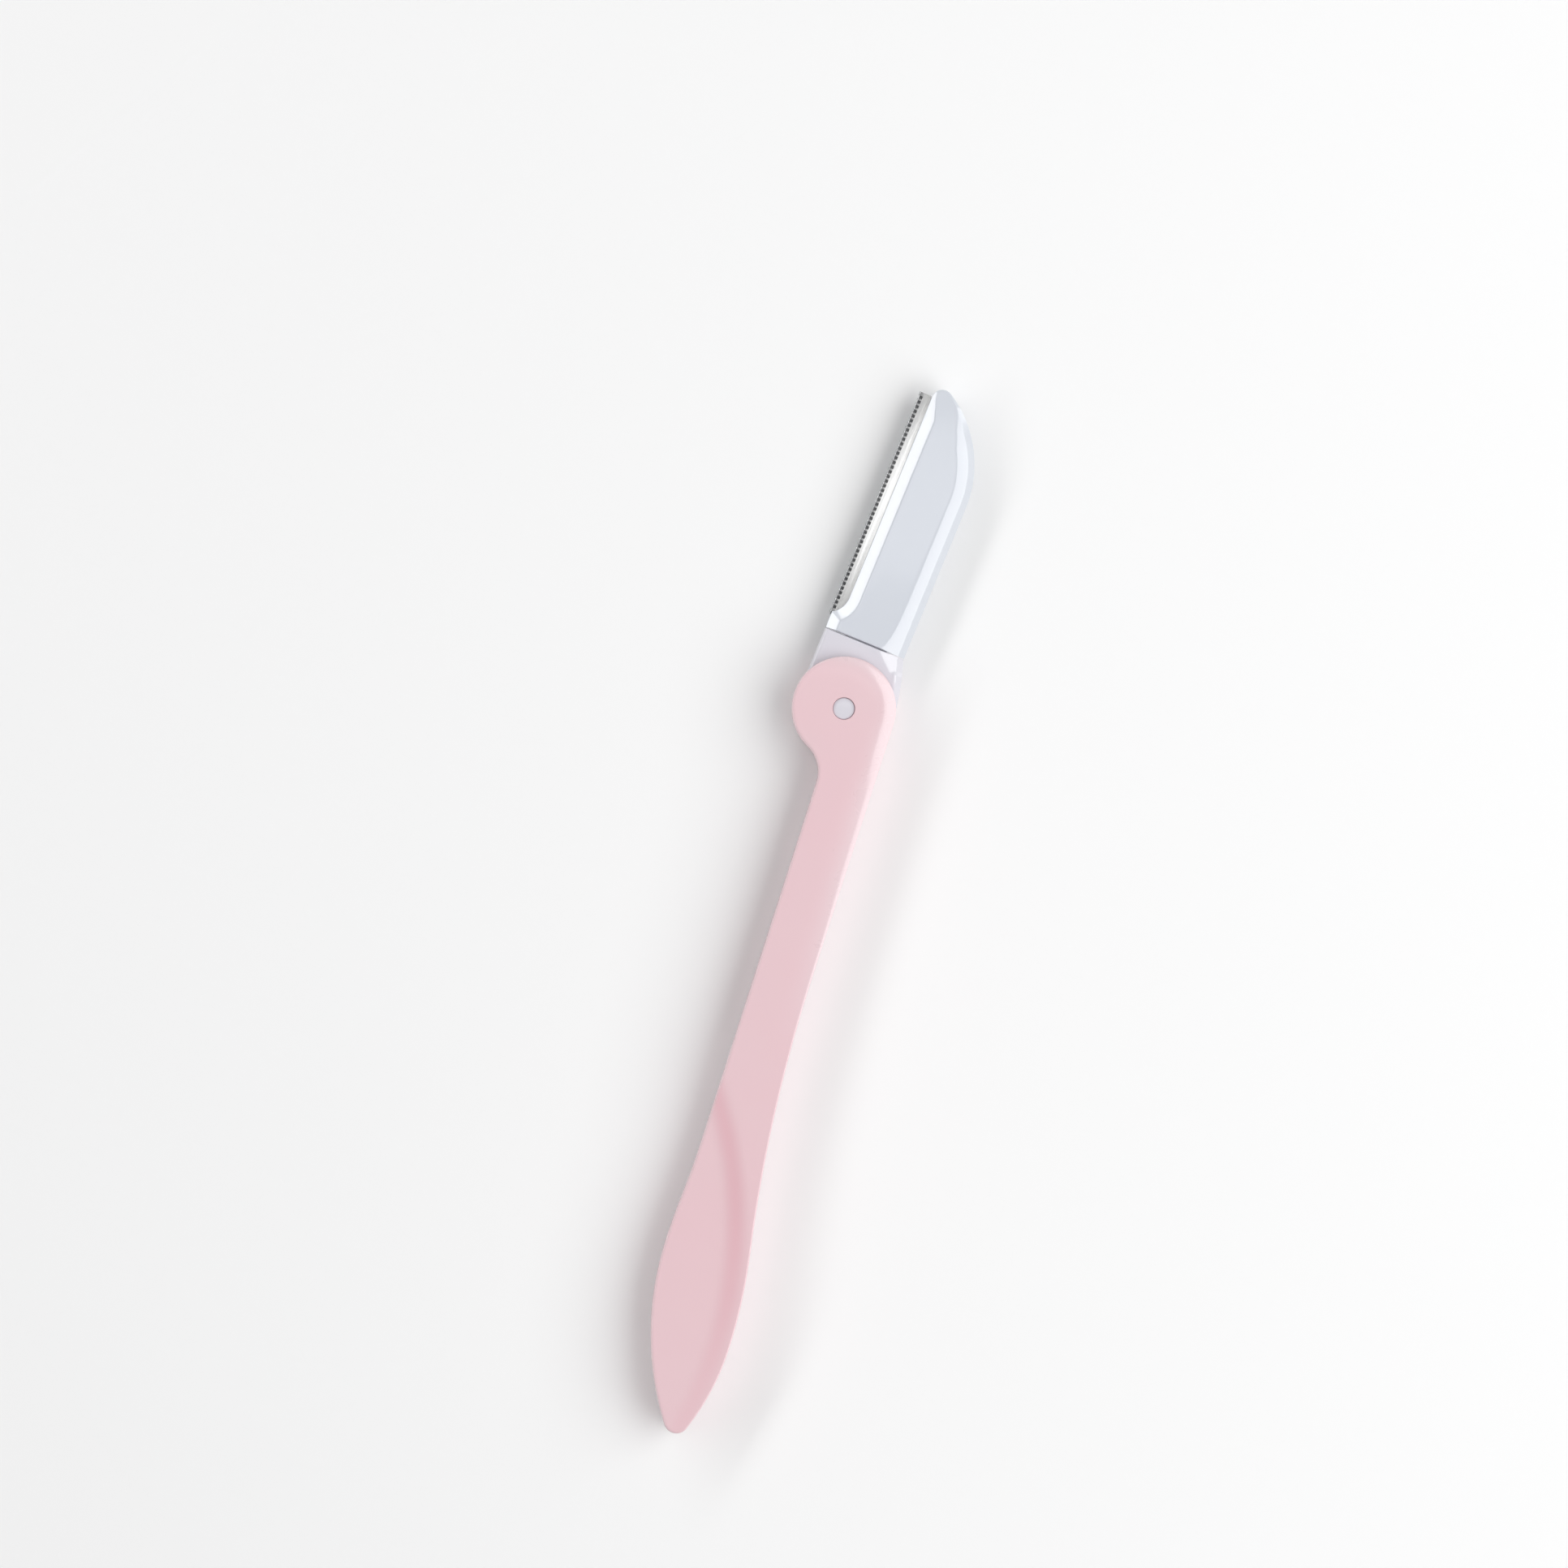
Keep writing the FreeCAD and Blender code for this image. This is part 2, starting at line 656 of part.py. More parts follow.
def blade():
    """A flat steel strip, ground on both sides to its edge, with a hole for each post."""
    body = new_body("blade")
    ground = cutting_line + sizes["grind_width"]
    flat = sizes["edge_flat"] / 2
    section = [
        (cutting_line, mid_height - flat),
        (ground, mid_height - half_blade),
        (blade_back, mid_height - half_blade),
        (blade_back, mid_height + half_blade),
        (ground, mid_height + half_blade),
        (cutting_line, mid_height + flat),
    ]
    sketch = draw(new_sketch(body, "section", "XZ_Plane", shift=(0, 0, -blade_foot)), section)
    pad(body, sketch, sizes["blade_length"], reverse=True)
    hole = sizes["post_diameter"] / 2 + sizes["post_play"]
    pocket(body, draw_circles(new_sketch(body, "holes", shift=(0, 0, mid_height)), post_places, hole))
    return body


def blade_guard():
    """A thin strip folded round the edge, pierced by a row of windows, so that hoops guard the skin."""
    body = new_body("blade_guard")
    leg_end = reveal_line - sizes["guard_gap"]
    fold = guard_line + guard_outside
    section = [
        (leg_end, mid_height + guard_outside),
        (fold, mid_height + guard_outside, guard_outside, "left"),
        (guard_line, mid_height, guard_outside, "left"),
        (fold, mid_height - guard_outside),
        (leg_end, mid_height - guard_outside),
        (leg_end, mid_height - guard_inside),
        (fold, mid_height - guard_inside, guard_inside, "right"),
        (fold - guard_inside, mid_height, guard_inside, "right"),
        (fold, mid_height + guard_inside),
        (leg_end, mid_height + guard_inside),
    ]
    end_radius = sizes["reveal_radius"] - sizes["guard_gap"]
    end_x = reveal_line - sizes["reveal_radius"]
    foot = reveal_top - end_radius
    length = blade_top + sizes["guard_end_gap"] - foot
    sketch = draw(new_sketch(body, "section", "XZ_Plane", shift=(0, 0, -foot)), section)
    pad(body, sketch, length, reverse=True)

    pitch = sizes["guard_hoop"] + sizes["guard_window"]
    below = foot - pitch
    end_cut = [
        (end_x, foot, end_radius, "left"),
        (leg_end, reveal_top),
        (reveal_line, reveal_top),
        (reveal_line, below),
        (guard_line - pitch, below),
        (guard_line - pitch, foot),
    ]
    pocket(body, draw(new_sketch(body, "end_cut", shift=(0, 0, mid_height)), end_cut))

    first_foot = reveal_top - other_leg(end_radius, guard_line + sizes["guard_window_depth"] - end_x)
    first_foot = first_foot + sizes["guard_hoop"]
    window = rectangle(
        guard_line - sizes["guard_window_depth"],
        guard_line + sizes["guard_window_depth"],
        first_foot,
        first_foot + sizes["guard_window"],
    )
    row = foot + length - first_foot - pitch
    sketch = draw(new_sketch(body, "window", shift=(0, 0, mid_height)), window)
    first_window = pocket(body, sketch)
    before = body.Shape.Volume
    pattern = body.newObject("PartDesign::LinearPattern", "guard_windows")
    pattern.Originals = [first_window]
    pattern.Direction = (sketch, ["V_Axis"])
    pattern.Mode = "Spacing"
    bind(pattern, "Offset", pitch)
    pattern.setExpression("Occurrences", f"floor({row.text} / {pitch.text}) + 1")
    body.Tip = pattern
    cut_volume(body, pattern, before)
    return body


handle_pieces = [handle_front_shell(), handle_back_shell(), pivot_pin()]
head_pieces = [blade_carrier(), blade(), blade_guard(), head_front_cover(), head_back_cover()]
pieces = handle_pieces + head_pieces

# The head leans towards the spine side, turned about the pivot
for piece in head_pieces:
    piece.Placement = Placement(Vector(0, 0, 0), Rotation(Vector(0, 0, 1), -sizes["head_lean"].number))
document.recompute()

# The razor's frame has its origin under the middle of its box
box = FreeCAD.BoundBox()
for piece in pieces:
    box.add(piece.Shape.optimalBoundingBox(False, False))
origin = Vector(box.Center.x, box.Center.y, box.ZMin)
for piece in pieces:
    piece.Placement.Base = -origin
document.recompute()

for item in document.Objects:
    if "Invalid" in item.State or "Error" in item.State:
        raise RuntimeError(f"{item.Name} failed: {item.State}")
    if item.TypeId == "Sketcher::SketchObject" and not item.FullyConstrained:
        raise RuntimeError(f"{item.Name} is not fully constrained")
for piece in pieces:
    shape = piece.Shape
    if shape.isNull() or not shape.isValid() or len(shape.Solids) != 1:
        raise RuntimeError(f"{piece.Label} is not one valid solid")

os.makedirs("parts", exist_ok=True)
for piece in pieces:
    piece.Shape.exportStep(f"parts/{piece.Label}.step")
    print(f"{piece.Label}: {piece.Shape.Volume:.1f} mm3")
print(f"box {box.XLength:.2f} x {box.YLength:.2f} x {box.ZLength:.2f} mm")
print(f"pivot at {-origin.x:.4f}, {-origin.y:.4f} mm")
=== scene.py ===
# %% [markdown]
# # A folding eyebrow razor
# The razor lies open on its back: a pink handle in two shells, and a white head that carries a guarded
# blade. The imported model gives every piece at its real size, in metres, with +Y along the grip towards the
# head, +X towards the spine side and +Z out of the face. This script dresses that model and lights it.

# %% Load the frame
import bpy
import bmesh
import json
import math
import numpy as np
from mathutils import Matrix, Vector


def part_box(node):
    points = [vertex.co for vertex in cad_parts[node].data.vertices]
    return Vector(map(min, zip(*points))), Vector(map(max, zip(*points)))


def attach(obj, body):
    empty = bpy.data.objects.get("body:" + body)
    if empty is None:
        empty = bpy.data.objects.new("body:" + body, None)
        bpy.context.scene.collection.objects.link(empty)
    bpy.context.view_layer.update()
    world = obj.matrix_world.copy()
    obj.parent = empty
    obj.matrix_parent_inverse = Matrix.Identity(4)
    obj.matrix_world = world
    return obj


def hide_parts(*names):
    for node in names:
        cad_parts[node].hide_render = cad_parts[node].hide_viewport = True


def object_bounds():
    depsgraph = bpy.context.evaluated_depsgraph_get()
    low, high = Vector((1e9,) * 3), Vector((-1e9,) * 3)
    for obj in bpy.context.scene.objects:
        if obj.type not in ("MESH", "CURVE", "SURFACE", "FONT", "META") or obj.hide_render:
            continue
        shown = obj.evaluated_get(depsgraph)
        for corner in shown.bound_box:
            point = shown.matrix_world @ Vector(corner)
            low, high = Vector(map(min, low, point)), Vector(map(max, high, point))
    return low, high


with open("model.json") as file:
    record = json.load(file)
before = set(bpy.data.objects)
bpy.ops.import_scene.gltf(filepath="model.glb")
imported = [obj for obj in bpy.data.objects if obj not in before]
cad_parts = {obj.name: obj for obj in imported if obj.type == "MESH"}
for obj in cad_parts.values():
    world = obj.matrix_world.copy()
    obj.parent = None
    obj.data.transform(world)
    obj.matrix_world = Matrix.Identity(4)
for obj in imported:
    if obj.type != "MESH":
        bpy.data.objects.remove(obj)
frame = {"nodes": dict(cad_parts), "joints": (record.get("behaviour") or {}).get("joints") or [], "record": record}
CAD_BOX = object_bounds()
MM = 0.001
print("nodes:", sorted(frame["nodes"]))

# %% [markdown]
# ## Where things are
# The fold's axis is the one place that both halves share, so it is read from the joint. Handle sizes are
# measured from it in the grip's axes. The head leans a few degrees towards the spine side.

# %% Places
FOLD = frame["joints"][0]
PIVOT = Vector(FOLD["pos_m"])
HANDLE_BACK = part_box("handle_back_shell")[0].z
HANDLE_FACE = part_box("handle_front_shell")[1].z
MID_HEIGHT = (HANDLE_BACK + HANDLE_FACE) / 2
HEAD_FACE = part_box("head_front_cover")[1].z
HEAD_LEAN = math.radians(4.6)
HEAD_ALONG = Vector((math.sin(HEAD_LEAN), math.cos(HEAD_LEAN)))
HEAD_ACROSS = Vector((math.cos(HEAD_LEAN), -math.sin(HEAD_LEAN)))
print("pivot at", tuple(round(x / MM, 3) for x in PIVOT), "mm")
print("head", round((HEAD_FACE - MID_HEIGHT) * 2 / MM, 2), "mm thick")

# %% [markdown]
# ## Camera
# The razor is seen from straight above, with the grip turned 17.8 degrees in the picture and the fold a
# little right of and above the picture's middle. A long lens far away keeps perspective small.

# %% Camera
GRIP_TURN = math.radians(17.8)
PICTURE_UP = Vector((-math.sin(GRIP_TURN), math.cos(GRIP_TURN), 0))
PICTURE_RIGHT = Vector((math.cos(GRIP_TURN), math.sin(GRIP_TURN), 0))
PICTURE_WIDTH = 217.35 * MM
PIVOT_RIGHT = 8.3 * MM
PIVOT_UP = 10.46 * MM
PICTURE_CENTRE = PIVOT - PICTURE_RIGHT * PIVOT_RIGHT - PICTURE_UP * PIVOT_UP
LENS = 120
SENSOR = 36

scene = bpy.context.scene
camera = bpy.data.objects.new("camera", bpy.data.cameras.new("camera"))
scene.collection.objects.link(camera)
camera.data.lens = LENS
camera.data.sensor_width = SENSOR
distance = PICTURE_WIDTH * LENS / SENSOR
camera.location = (PICTURE_CENTRE.x, PICTURE_CENTRE.y, HANDLE_FACE + distance)
camera.rotation_euler = (0, 0, GRIP_TURN)
scene.camera = camera
print("camera", round(distance, 3), "m above the face")

# %% [markdown]
# ## Floor
# A plain pale floor takes the soft shadows.

# %% Floor
FLOOR_WIDTH = 8
FLOOR_WHITE = (0.93, 0.93, 0.93, 1)
FLOOR_ROUGHNESS = 0.9

bpy.ops.object.select_all(action="DESELECT")
bpy.ops.mesh.primitive_plane_add(size=FLOOR_WIDTH, location=(0, 0, CAD_BOX[0].z))
floor = bpy.context.object
floor.name = "floor"
floor_paint = bpy.data.materials.new("floor_paint")
floor_paint.use_nodes = True
floor_shader = floor_paint.node_tree.nodes["Principled BSDF"]
floor_shader.inputs["Base Color"].default_value = FLOOR_WHITE
floor_shader.inputs["Roughness"].default_value = FLOOR_ROUGHNESS
floor.data.materials.append(floor_paint)
print("floor", FLOOR_WIDTH, "m wide")

# %% [markdown]
# ## Light
# A product set for a small glossy thing: a key softbox on the right, which draws the bright band along the
# rounded spine side, a long low strip on the left for the crisp bevel beside the blade, and a narrow panel
# almost overhead, which the flat steel mirrors along its middle. Together with the white room they light a
# level surface at about one, so a colour renders about as it is written.

# %% Light
ROOM_WHITE = 0.34

scene.view_settings.view_transform = "Standard"
room = bpy.data.worlds.new("room")
room.use_nodes = True
room.node_tree.nodes["Background"].inputs["Color"].default_value = (1, 1, 1, 1)
room.node_tree.nodes["Background"].inputs["Strength"].default_value = ROOM_WHITE
scene.world = room


def softbox(name, side, height, reach, width, length, share):
    """A softbox aimed at the razor, at a height in degrees, with its share of a level face's light."""
    rise = math.radians(height)
    lamp = bpy.data.objects.new(name, bpy.data.lights.new(name, "AREA"))
    scene.collection.objects.link(lamp)
    lamp.data.shape = "RECTANGLE"
    lamp.data.size = width
    lamp.data.size_y = length
    lamp.data.energy = share * math.pi ** 2 * reach ** 2 / math.sin(rise)
    direction = side.normalized() * math.cos(rise) + Vector((0, 0, math.sin(rise)))
    lamp.location = PICTURE_CENTRE + direction * reach
    lamp.rotation_euler = direction.to_track_quat("Z", "Y").to_euler()
    print(name, round(lamp.data.energy, 2), "W")


softbox("left_strip", side=PICTURE_UP * 0.6 - PICTURE_RIGHT, height=36, reach=0.8,
        width=1.7, length=0.13, share=0.3)
softbox("right_softbox", side=PICTURE_RIGHT - PICTURE_UP * 0.15, height=45, reach=0.8,
        width=1.1, length=0.8, share=0.7)
softbox("top_panel", side=PICTURE_UP, height=85.5, reach=1.6,
        width=0.4, length=0.071, share=0.0042)

# %% [markdown]
# ## Working by operators
# Blender's mesh operators act on whatever is selected, so each step starts by selecting nothing and then
# opens the one piece it works on. A finished piece is smoothed up to an angle, rides on its body and stands
# for its CAD node. A cut leaves thin slivers, whose directions mean little, so shading stops at them.

# %% Helpers for pieces
WELD = 1e-7
SMOOTH_ANGLE = math.radians(28)
SLIVER = 2e-6


def deselect():
    """Leave edit mode and select nothing."""
    if bpy.context.object and bpy.context.object.mode == "EDIT":
        bpy.ops.object.mode_set(mode="OBJECT")
    bpy.ops.object.select_all(action="DESELECT")


def pick(piece):
    """Select one piece and make it the active one."""
    deselect()
    bpy.context.view_layer.objects.active = piece
    piece.select_set(True)


def edit(piece, action="DESELECT"):
    """Open one piece in edit mode, with all or nothing in it selected."""
    pick(piece)
    bpy.ops.object.mode_set(mode="EDIT")
    bpy.ops.mesh.select_mode(type="EDGE")
    bpy.ops.mesh.select_all(action=action)


def heal(piece):
    """Merge doubled points, drop faces without area and turn all faces outwards."""
    edit(piece, "SELECT")
    bpy.ops.mesh.remove_doubles(threshold=WELD)
    bpy.ops.mesh.dissolve_degenerate(threshold=WELD)
    bpy.ops.mesh.normals_make_consistent(inside=False)
    if bmesh.from_edit_mesh(piece.data).calc_volume(signed=True) < 0:
        bpy.ops.mesh.flip_normals()
    deselect()


def blank(name, points, edges=(), faces=()):
    """A mesh object from a few points."""
    mesh = bpy.data.meshes.new(name)
    mesh.from_pydata(points, edges, faces)
    piece = bpy.data.objects.new(name, mesh)
    scene.collection.objects.link(piece)
    return piece


def carve(piece, cutter, operation="DIFFERENCE"):
    """Cut a piece with another mesh, which is then thrown away."""
    pick(piece)
    modifier = piece.modifiers.new("carve", "BOOLEAN")
    modifier.operation = operation
    modifier.solver = "EXACT"
    modifier.object = cutter
    bpy.ops.object.modifier_apply(modifier=modifier.name)
    bpy.data.objects.remove(cutter)


def cad_copy(node):
    """A loose copy of a CAD node, merged so that operators can use it."""
    copy = bpy.data.objects.new(node + "_copy", frame["nodes"][node].data.copy())
    scene.collection.objects.link(copy)
    heal(copy)
    return copy


def settle(piece, body, node):
    """Smooth a finished piece, but not across its slivers, and put it in the place of its CAD node."""
    heal(piece)
    pick(piece)
    bpy.ops.object.shade_smooth_by_angle(angle=SMOOTH_ANGLE)
    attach(piece, body)
    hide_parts(node)
    shape = bmesh.new()
    shape.from_mesh(piece.data)
    slivers = {face for face in shape.faces
               if 2 * face.calc_area() < SLIVER * max(edge.calc_length() for edge in face.edges)}
    for edge in shape.edges:
        if edge.calc_face_angle(0) > SMOOTH_ANGLE or not slivers.isdisjoint(edge.link_faces):
            edge.smooth = False
    shape.to_mesh(piece.data)
    open_edges = sum(not edge.is_manifold for edge in shape.edges)
    volume = round(shape.calc_volume(signed=True) / MM ** 3, 1)
    print(piece.name, len(shape.faces), "faces,", open_edges, "open edges,", volume, "mm3")
    shape.free()


# %% [markdown]
# ## Lines read from the frame
# Where a rounding or a bevel starts, the CAD has a line of edges at one height. Reading that line gives the
# exact outline of a moulding, so the dressed piece needs no sizes of its own for it. The CAD line has only
# as many points as its arcs need, so it is read off again along a smooth curve through them.

# %% Outlines
LEVEL_PLAY = 2e-6
FLAT = 0.999


def level_line(node, height):
    """The longest line of edges of a CAD node at one height, counter-clockwise."""
    shape = bmesh.new()
    shape.from_mesh(frame["nodes"][node].data)
    bmesh.ops.remove_doubles(shape, verts=shape.verts, dist=WELD)
    shape.verts.index_update()
    links = {}
    for edge in shape.edges:
        on_level = all(abs(vert.co.z - height) < LEVEL_PLAY for vert in edge.verts)
        flat_faces = sum(abs(face.normal.z) > FLAT for face in edge.link_faces)
        if on_level and flat_faces < 2:
            first, second = edge.verts
            links.setdefault(first, []).append(second)
            links.setdefault(second, []).append(first)
    lines = []
    while links:
        here = min(links, key=lambda vert: (len(links[vert]), vert.index))
        line = [here]
        ahead = links.pop(here)
        while ahead:
            here = next((vert for vert in ahead if vert in links), None)
            if here is None:
                break
            line.append(here)
            ahead = links.pop(here)
        lines.append(np.array([vert.co[:2] for vert in line]))
    shape.free()
    longest = max(lines, key=lambda line: np.ptp(line[:, 1]))
    ahead = np.roll(longest, -1, axis=0)
    area = np.sum(longest[:, 0] * ahead[:, 1] - longest[:, 1] * ahead[:, 0])
    return longest if area > 0 else longest[::-1]


def split_line(ring, first, last):
    """The two halves of a closed line, both from its point number first to its point number last."""
    ring = np.roll(ring, -first, axis=0)
    turn = (last - first) % len(ring)
    ahead = ring[:turn + 1]
    back = np.concatenate((ring[turn:], ring[:1]))[::-1]
    return ahead, back


def read_along(line, shares):
    """Points at shares of a line's length, on a smooth curve through the line's points."""
    step = np.linalg.norm(np.diff(line, axis=0), axis=1)
    at = np.concatenate(([0], np.cumsum(step)))
    lead = np.empty_like(line)
    lead[1:-1] = (line[2:] - line[:-2]) / (at[2:] - at[:-2])[:, None]
    lead[0] = (line[1] - line[0]) / step[0]
    lead[-1] = (line[-1] - line[-2]) / step[-1]
    place = np.asarray(shares) * at[-1]
    index = np.clip(np.searchsorted(at, place) - 1, 0, len(step) - 1)
    run = step[index][:, None]
    share = (place - at[index])[:, None] / run
    start = (1 + 2 * share) * (1 - share) ** 2 * line[index]
    end = share ** 2 * (3 - 2 * share) * line[index + 1]
    leave = share * (1 - share) ** 2 * run * lead[index]
    arrive = share ** 2 * (share - 1) * run * lead[index + 1]
    return start + end + leave + arrive


def reach_to(points, line):
    """How far each point is from an open line, and the number of the line's piece that is nearest."""
    start = line[:-1]
    run = np.diff(line, axis=0)
    near, which = [], []
    for point in points:
        offset = point - start
        share = np.clip(np.sum(offset * run, axis=1) / np.sum(run * run, axis=1), 0, 1)
        gap = np.linalg.norm(offset - share[:, None] * run, axis=1)
        which.append(int(np.argmin(gap)))
        near.append(gap[which[-1]])
    return np.array(near), np.array(which)


# %% [markdown]
# ## A moulded face
# A moulding's face is a shallow relief over its outline. A grid is stretched between the two sides of the
# outline and lifted to a height at each place, so that edge roundings and hollows run smoothly into each
# other. Beveling a flat plate would do for the edge alone, but not where a hollow runs out over it. The
# grid's lines crowd together at the sides, where the form turns most. Its rim is then drawn down and closed.

# %% Moulded faces
ALONG_CROWD = 0.6
ACROSS_CROWD = 0.8
SECTION_POINTS = 600


def crowd(shares, amount):
    """Shares from 0 to 1 that crowd together towards both ends."""
    return shares - amount * np.sin(2 * np.pi * shares) / (2 * np.pi)


def moulding(name, left, right, rows, columns, height_at, foot):
    """A grid between two side lines, lifted to its height at each place, with a wall down to the foot."""
    deselect()
    bpy.ops.mesh.primitive_grid_add(x_subdivisions=columns, y_subdivisions=rows, size=1)
    piece = bpy.context.object
    piece.name = name
    across, along = np.array([vert.co[:2] for vert in piece.data.vertices]).T + 0.5
    along = crowd(along, ALONG_CROWD)
    across = crowd(across, ACROSS_CROWD)[:, None]
    places = read_along(left, along) * (1 - across) + read_along(right, along) * across
    for vert, place, height in zip(piece.data.vertices, places, height_at(places)):
        vert.co = (*place, height)
    edit(piece, "SELECT")
    bpy.ops.mesh.remove_doubles(threshold=WELD)
    bpy.ops.mesh.select_all(action="DESELECT")
    bpy.ops.mesh.select_non_manifold()
    bpy.ops.mesh.extrude_edges_move()
    bpy.ops.transform.resize(value=(1, 1, 0), center_override=(0, 0, foot))
    return piece


def close_foot(piece):
    """Fill the foot of a moulding, whose rim is still selected."""
    bpy.ops.mesh.edge_face_add()
    heal(piece)


def section(*tilts):
    """A section's heights below the face, from its tilts in degrees at distances in mm from the outline."""
    distances, degrees = zip(*tilts)
    reach = np.linspace(0, distances[-1], SECTION_POINTS)
    slope = np.tan(np.radians(np.interp(reach, distances, degrees)))
    rise = np.concatenate(([0], np.cumsum((slope[1:] + slope[:-1]) / 2 * np.diff(reach))))
    return reach * MM, (rise[-1] - rise) * MM


# %% [markdown]
# Where a finish follows the form, the mesh carries it as an attribute: rim is strongest on an edge rounding
# and sets a painted highlight there; another mark on the thumb dish's wall sets painted shade, a deeper pink.

# %% Marks
WALL_TILT = 0.3


def mark(piece, name, measure):
    """Store a number from 0 to 1 at each point of a piece's outer faces, and 0 on its walls and inside."""
    shape = bmesh.new()
    shape.from_mesh(piece.data)
    outer = set()
    for face in shape.faces:
        above = face.calc_center_median().z > MID_HEIGHT
        if (face.normal.z if above else -face.normal.z) > WALL_TILT:
            outer.add(face)
    on_face = [outer.issuperset(vert.link_faces) for vert in shape.verts]
    places = np.array([vert.co[:2] for vert in shape.verts])
    shape.free()
    layer = piece.data.attributes.new(name, "FLOAT", "POINT")
    layer.data.foreach_set("value", np.clip(measure(places), 0, 1) * on_face)
    print(name, "on", sum(on_face), "points of", piece.name)


def turn_of(drop, side_section):
    """0 on the face, rising to 1 halfway down a rounding and staying so as far as the outline."""
    return np.sin(np.pi * np.clip(drop / side_section[1][0], 0, 0.5))


# %% [markdown]
# ## Handle shells
# The handle is two ABS mouldings that meet at mid-height. The front one is crisp on the edge side. On the
# spine side its rounding is wide at the ear, narrows along the grip and is crisp at the leaf, so the section
# changes from station to station. The leaf holds a shallow thumb dish, whose wall bends up and rolls over
# softly.

# %% Handle relief
CAD_ROUND = 1.2 * MM
OUTLINE_POINTS = 400
EDGE_ROUND = section((0, 80), (0.25, 12), (0.5, 0))
EAR_ROUND = section((0, 28), (0.7, 22), (1.45, 11), (1.8, 5), (3.4, 0))
GRIP_ROUND = section((0, 30), (0.35, 21), (0.65, 8), (2.6, 3), (4, 0))
WAIST_ROUND = section((0, 32), (0.2, 20), (0.35, 6), (2.4, 2), (3.6, 0))
LEAF_ROUND = section((0, 60), (0.15, 8), (0.3, 0))
BACK_ROUND = section((0, 78), (0.3, 45), (1.2, 0))
SPINE_STATIONS = ((-48, LEAF_ROUND), (-30, WAIST_ROUND), (-10, GRIP_ROUND), (2, EAR_ROUND))
DISH_CENTRE = np.array(PIVOT.xy) + np.array((-47.1, -89.5)) * MM
DISH_RADIUS = 57.2 * MM
DISH_RUN = 4.2 * MM
DISH_DEPTH = 0.7 * MM
DISH_FADE = ((-102 * MM, 0.3), (-72 * MM, 1))

handle_ring = level_line("handle_front_shell", HANDLE_FACE - CAD_ROUND)
ear_top = int(np.argmax(handle_ring[:, 1]))
leaf_tip = int(np.argmin(handle_ring[:, 1]))
edge_side, spine_side = split_line(handle_ring, ear_top, leaf_tip)
even = np.linspace(0, 1, OUTLINE_POINTS)
handle_line = np.concatenate((read_along(edge_side, even), read_along(spine_side, even[::-1])[1:]))
print("handle outline read off at", len(handle_line), "points")


def outline_turn(places):
    """How far each place is from the handle's outline, and 0 to 1 from edge to spine side of it."""
    reach, which = reach_to(places, handle_line)
    run = np.diff(handle_line, axis=0)[which]
    facing = (1 + run[:, 1] / np.linalg.norm(run, axis=1)) / 2
    return reach, facing ** 2 * (3 - 2 * facing)


def front_round(places):
    """How far the front shell's edge rounding lowers its face."""
    reach, facing = outline_turn(places)
    stations = [at * MM for at, _ in SPINE_STATIONS]
    spine = np.zeros(len(places))
    for (_, shape), only in zip(SPINE_STATIONS, np.eye(len(stations))):
        spine += np.interp(reach, *shape) * np.interp(places[:, 1] - PIVOT.y, stations, only)
    return np.interp(reach, *EDGE_ROUND) * (1 - facing) + spine * facing


def back_round(places):
    """How far the back shell's edge rounding lowers its face, the same all round."""
    return np.interp(outline_turn(places)[0], *BACK_ROUND)


def dish(places):
    """How far the thumb dish lowers the face, and the strength of painted shade on its wall, fading to the tip."""
    out = np.linalg.norm(places - DISH_CENTRE, axis=1) - DISH_RADIUS
    turn = np.pi * np.clip(out / DISH_RUN + 0.5, 0, 1)
    fade = np.interp(places[:, 1] - PIVOT.y, *zip(*DISH_FADE))
    return fade * DISH_DEPTH * (1 + np.cos(turn)) / 2, fade * np.sin(turn) ** 2


def front_height(places):
    """The front shell's relief."""
    return HANDLE_FACE - front_round(places) - dish(places)[0]


def back_height(places):
    """The back shell's relief: level, with a rounding all round."""
    return HANDLE_BACK + back_round(places)


front_shell = moulding("front_shell", edge_side, spine_side, rows=200, columns=44,
                       height_at=front_height, foot=MID_HEIGHT)
close_foot(front_shell)
back_shell = moulding("back_shell", edge_side, spine_side, rows=200, columns=32,
                      height_at=back_height, foot=MID_HEIGHT)
close_foot(back_shell)

# %% [markdown]
# The two shells leave a slot for the folded head, open on the edge side, and a stepped bore for the pivot
# pin. The slot's line is read from the frame and pushed out past the handle where it is open. The bore is a
# profile spun about the fold's axis. Both are cut out of the mouldings, whose parting edges are bevelled
# first, so that a fine line shows where the shells meet.

# %% Slot and bore
SLOT_HALF = 1.6 * MM
SLOT_PAST = 2 * MM
OUTLINE_PLAY = 0.05 * MM
TURN_STEPS = 96
PIN_RADIUS = 1.5 * MM
BORE_RADIUS = 1.53 * MM
PIN_HEAD_RADIUS = (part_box("pivot_pin")[1].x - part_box("pivot_pin")[0].x) / 2
SEAT_RADIUS = PIN_HEAD_RADIUS + 0.03 * MM
PIN_HEAD_HEIGHT = 0.8 * MM
PIN_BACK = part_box("pivot_pin")[0].z
PIN_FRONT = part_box("pivot_pin")[1].z
BORE_CHAMFER = 0.08 * MM
PARTING_BEVEL = 0.08 * MM


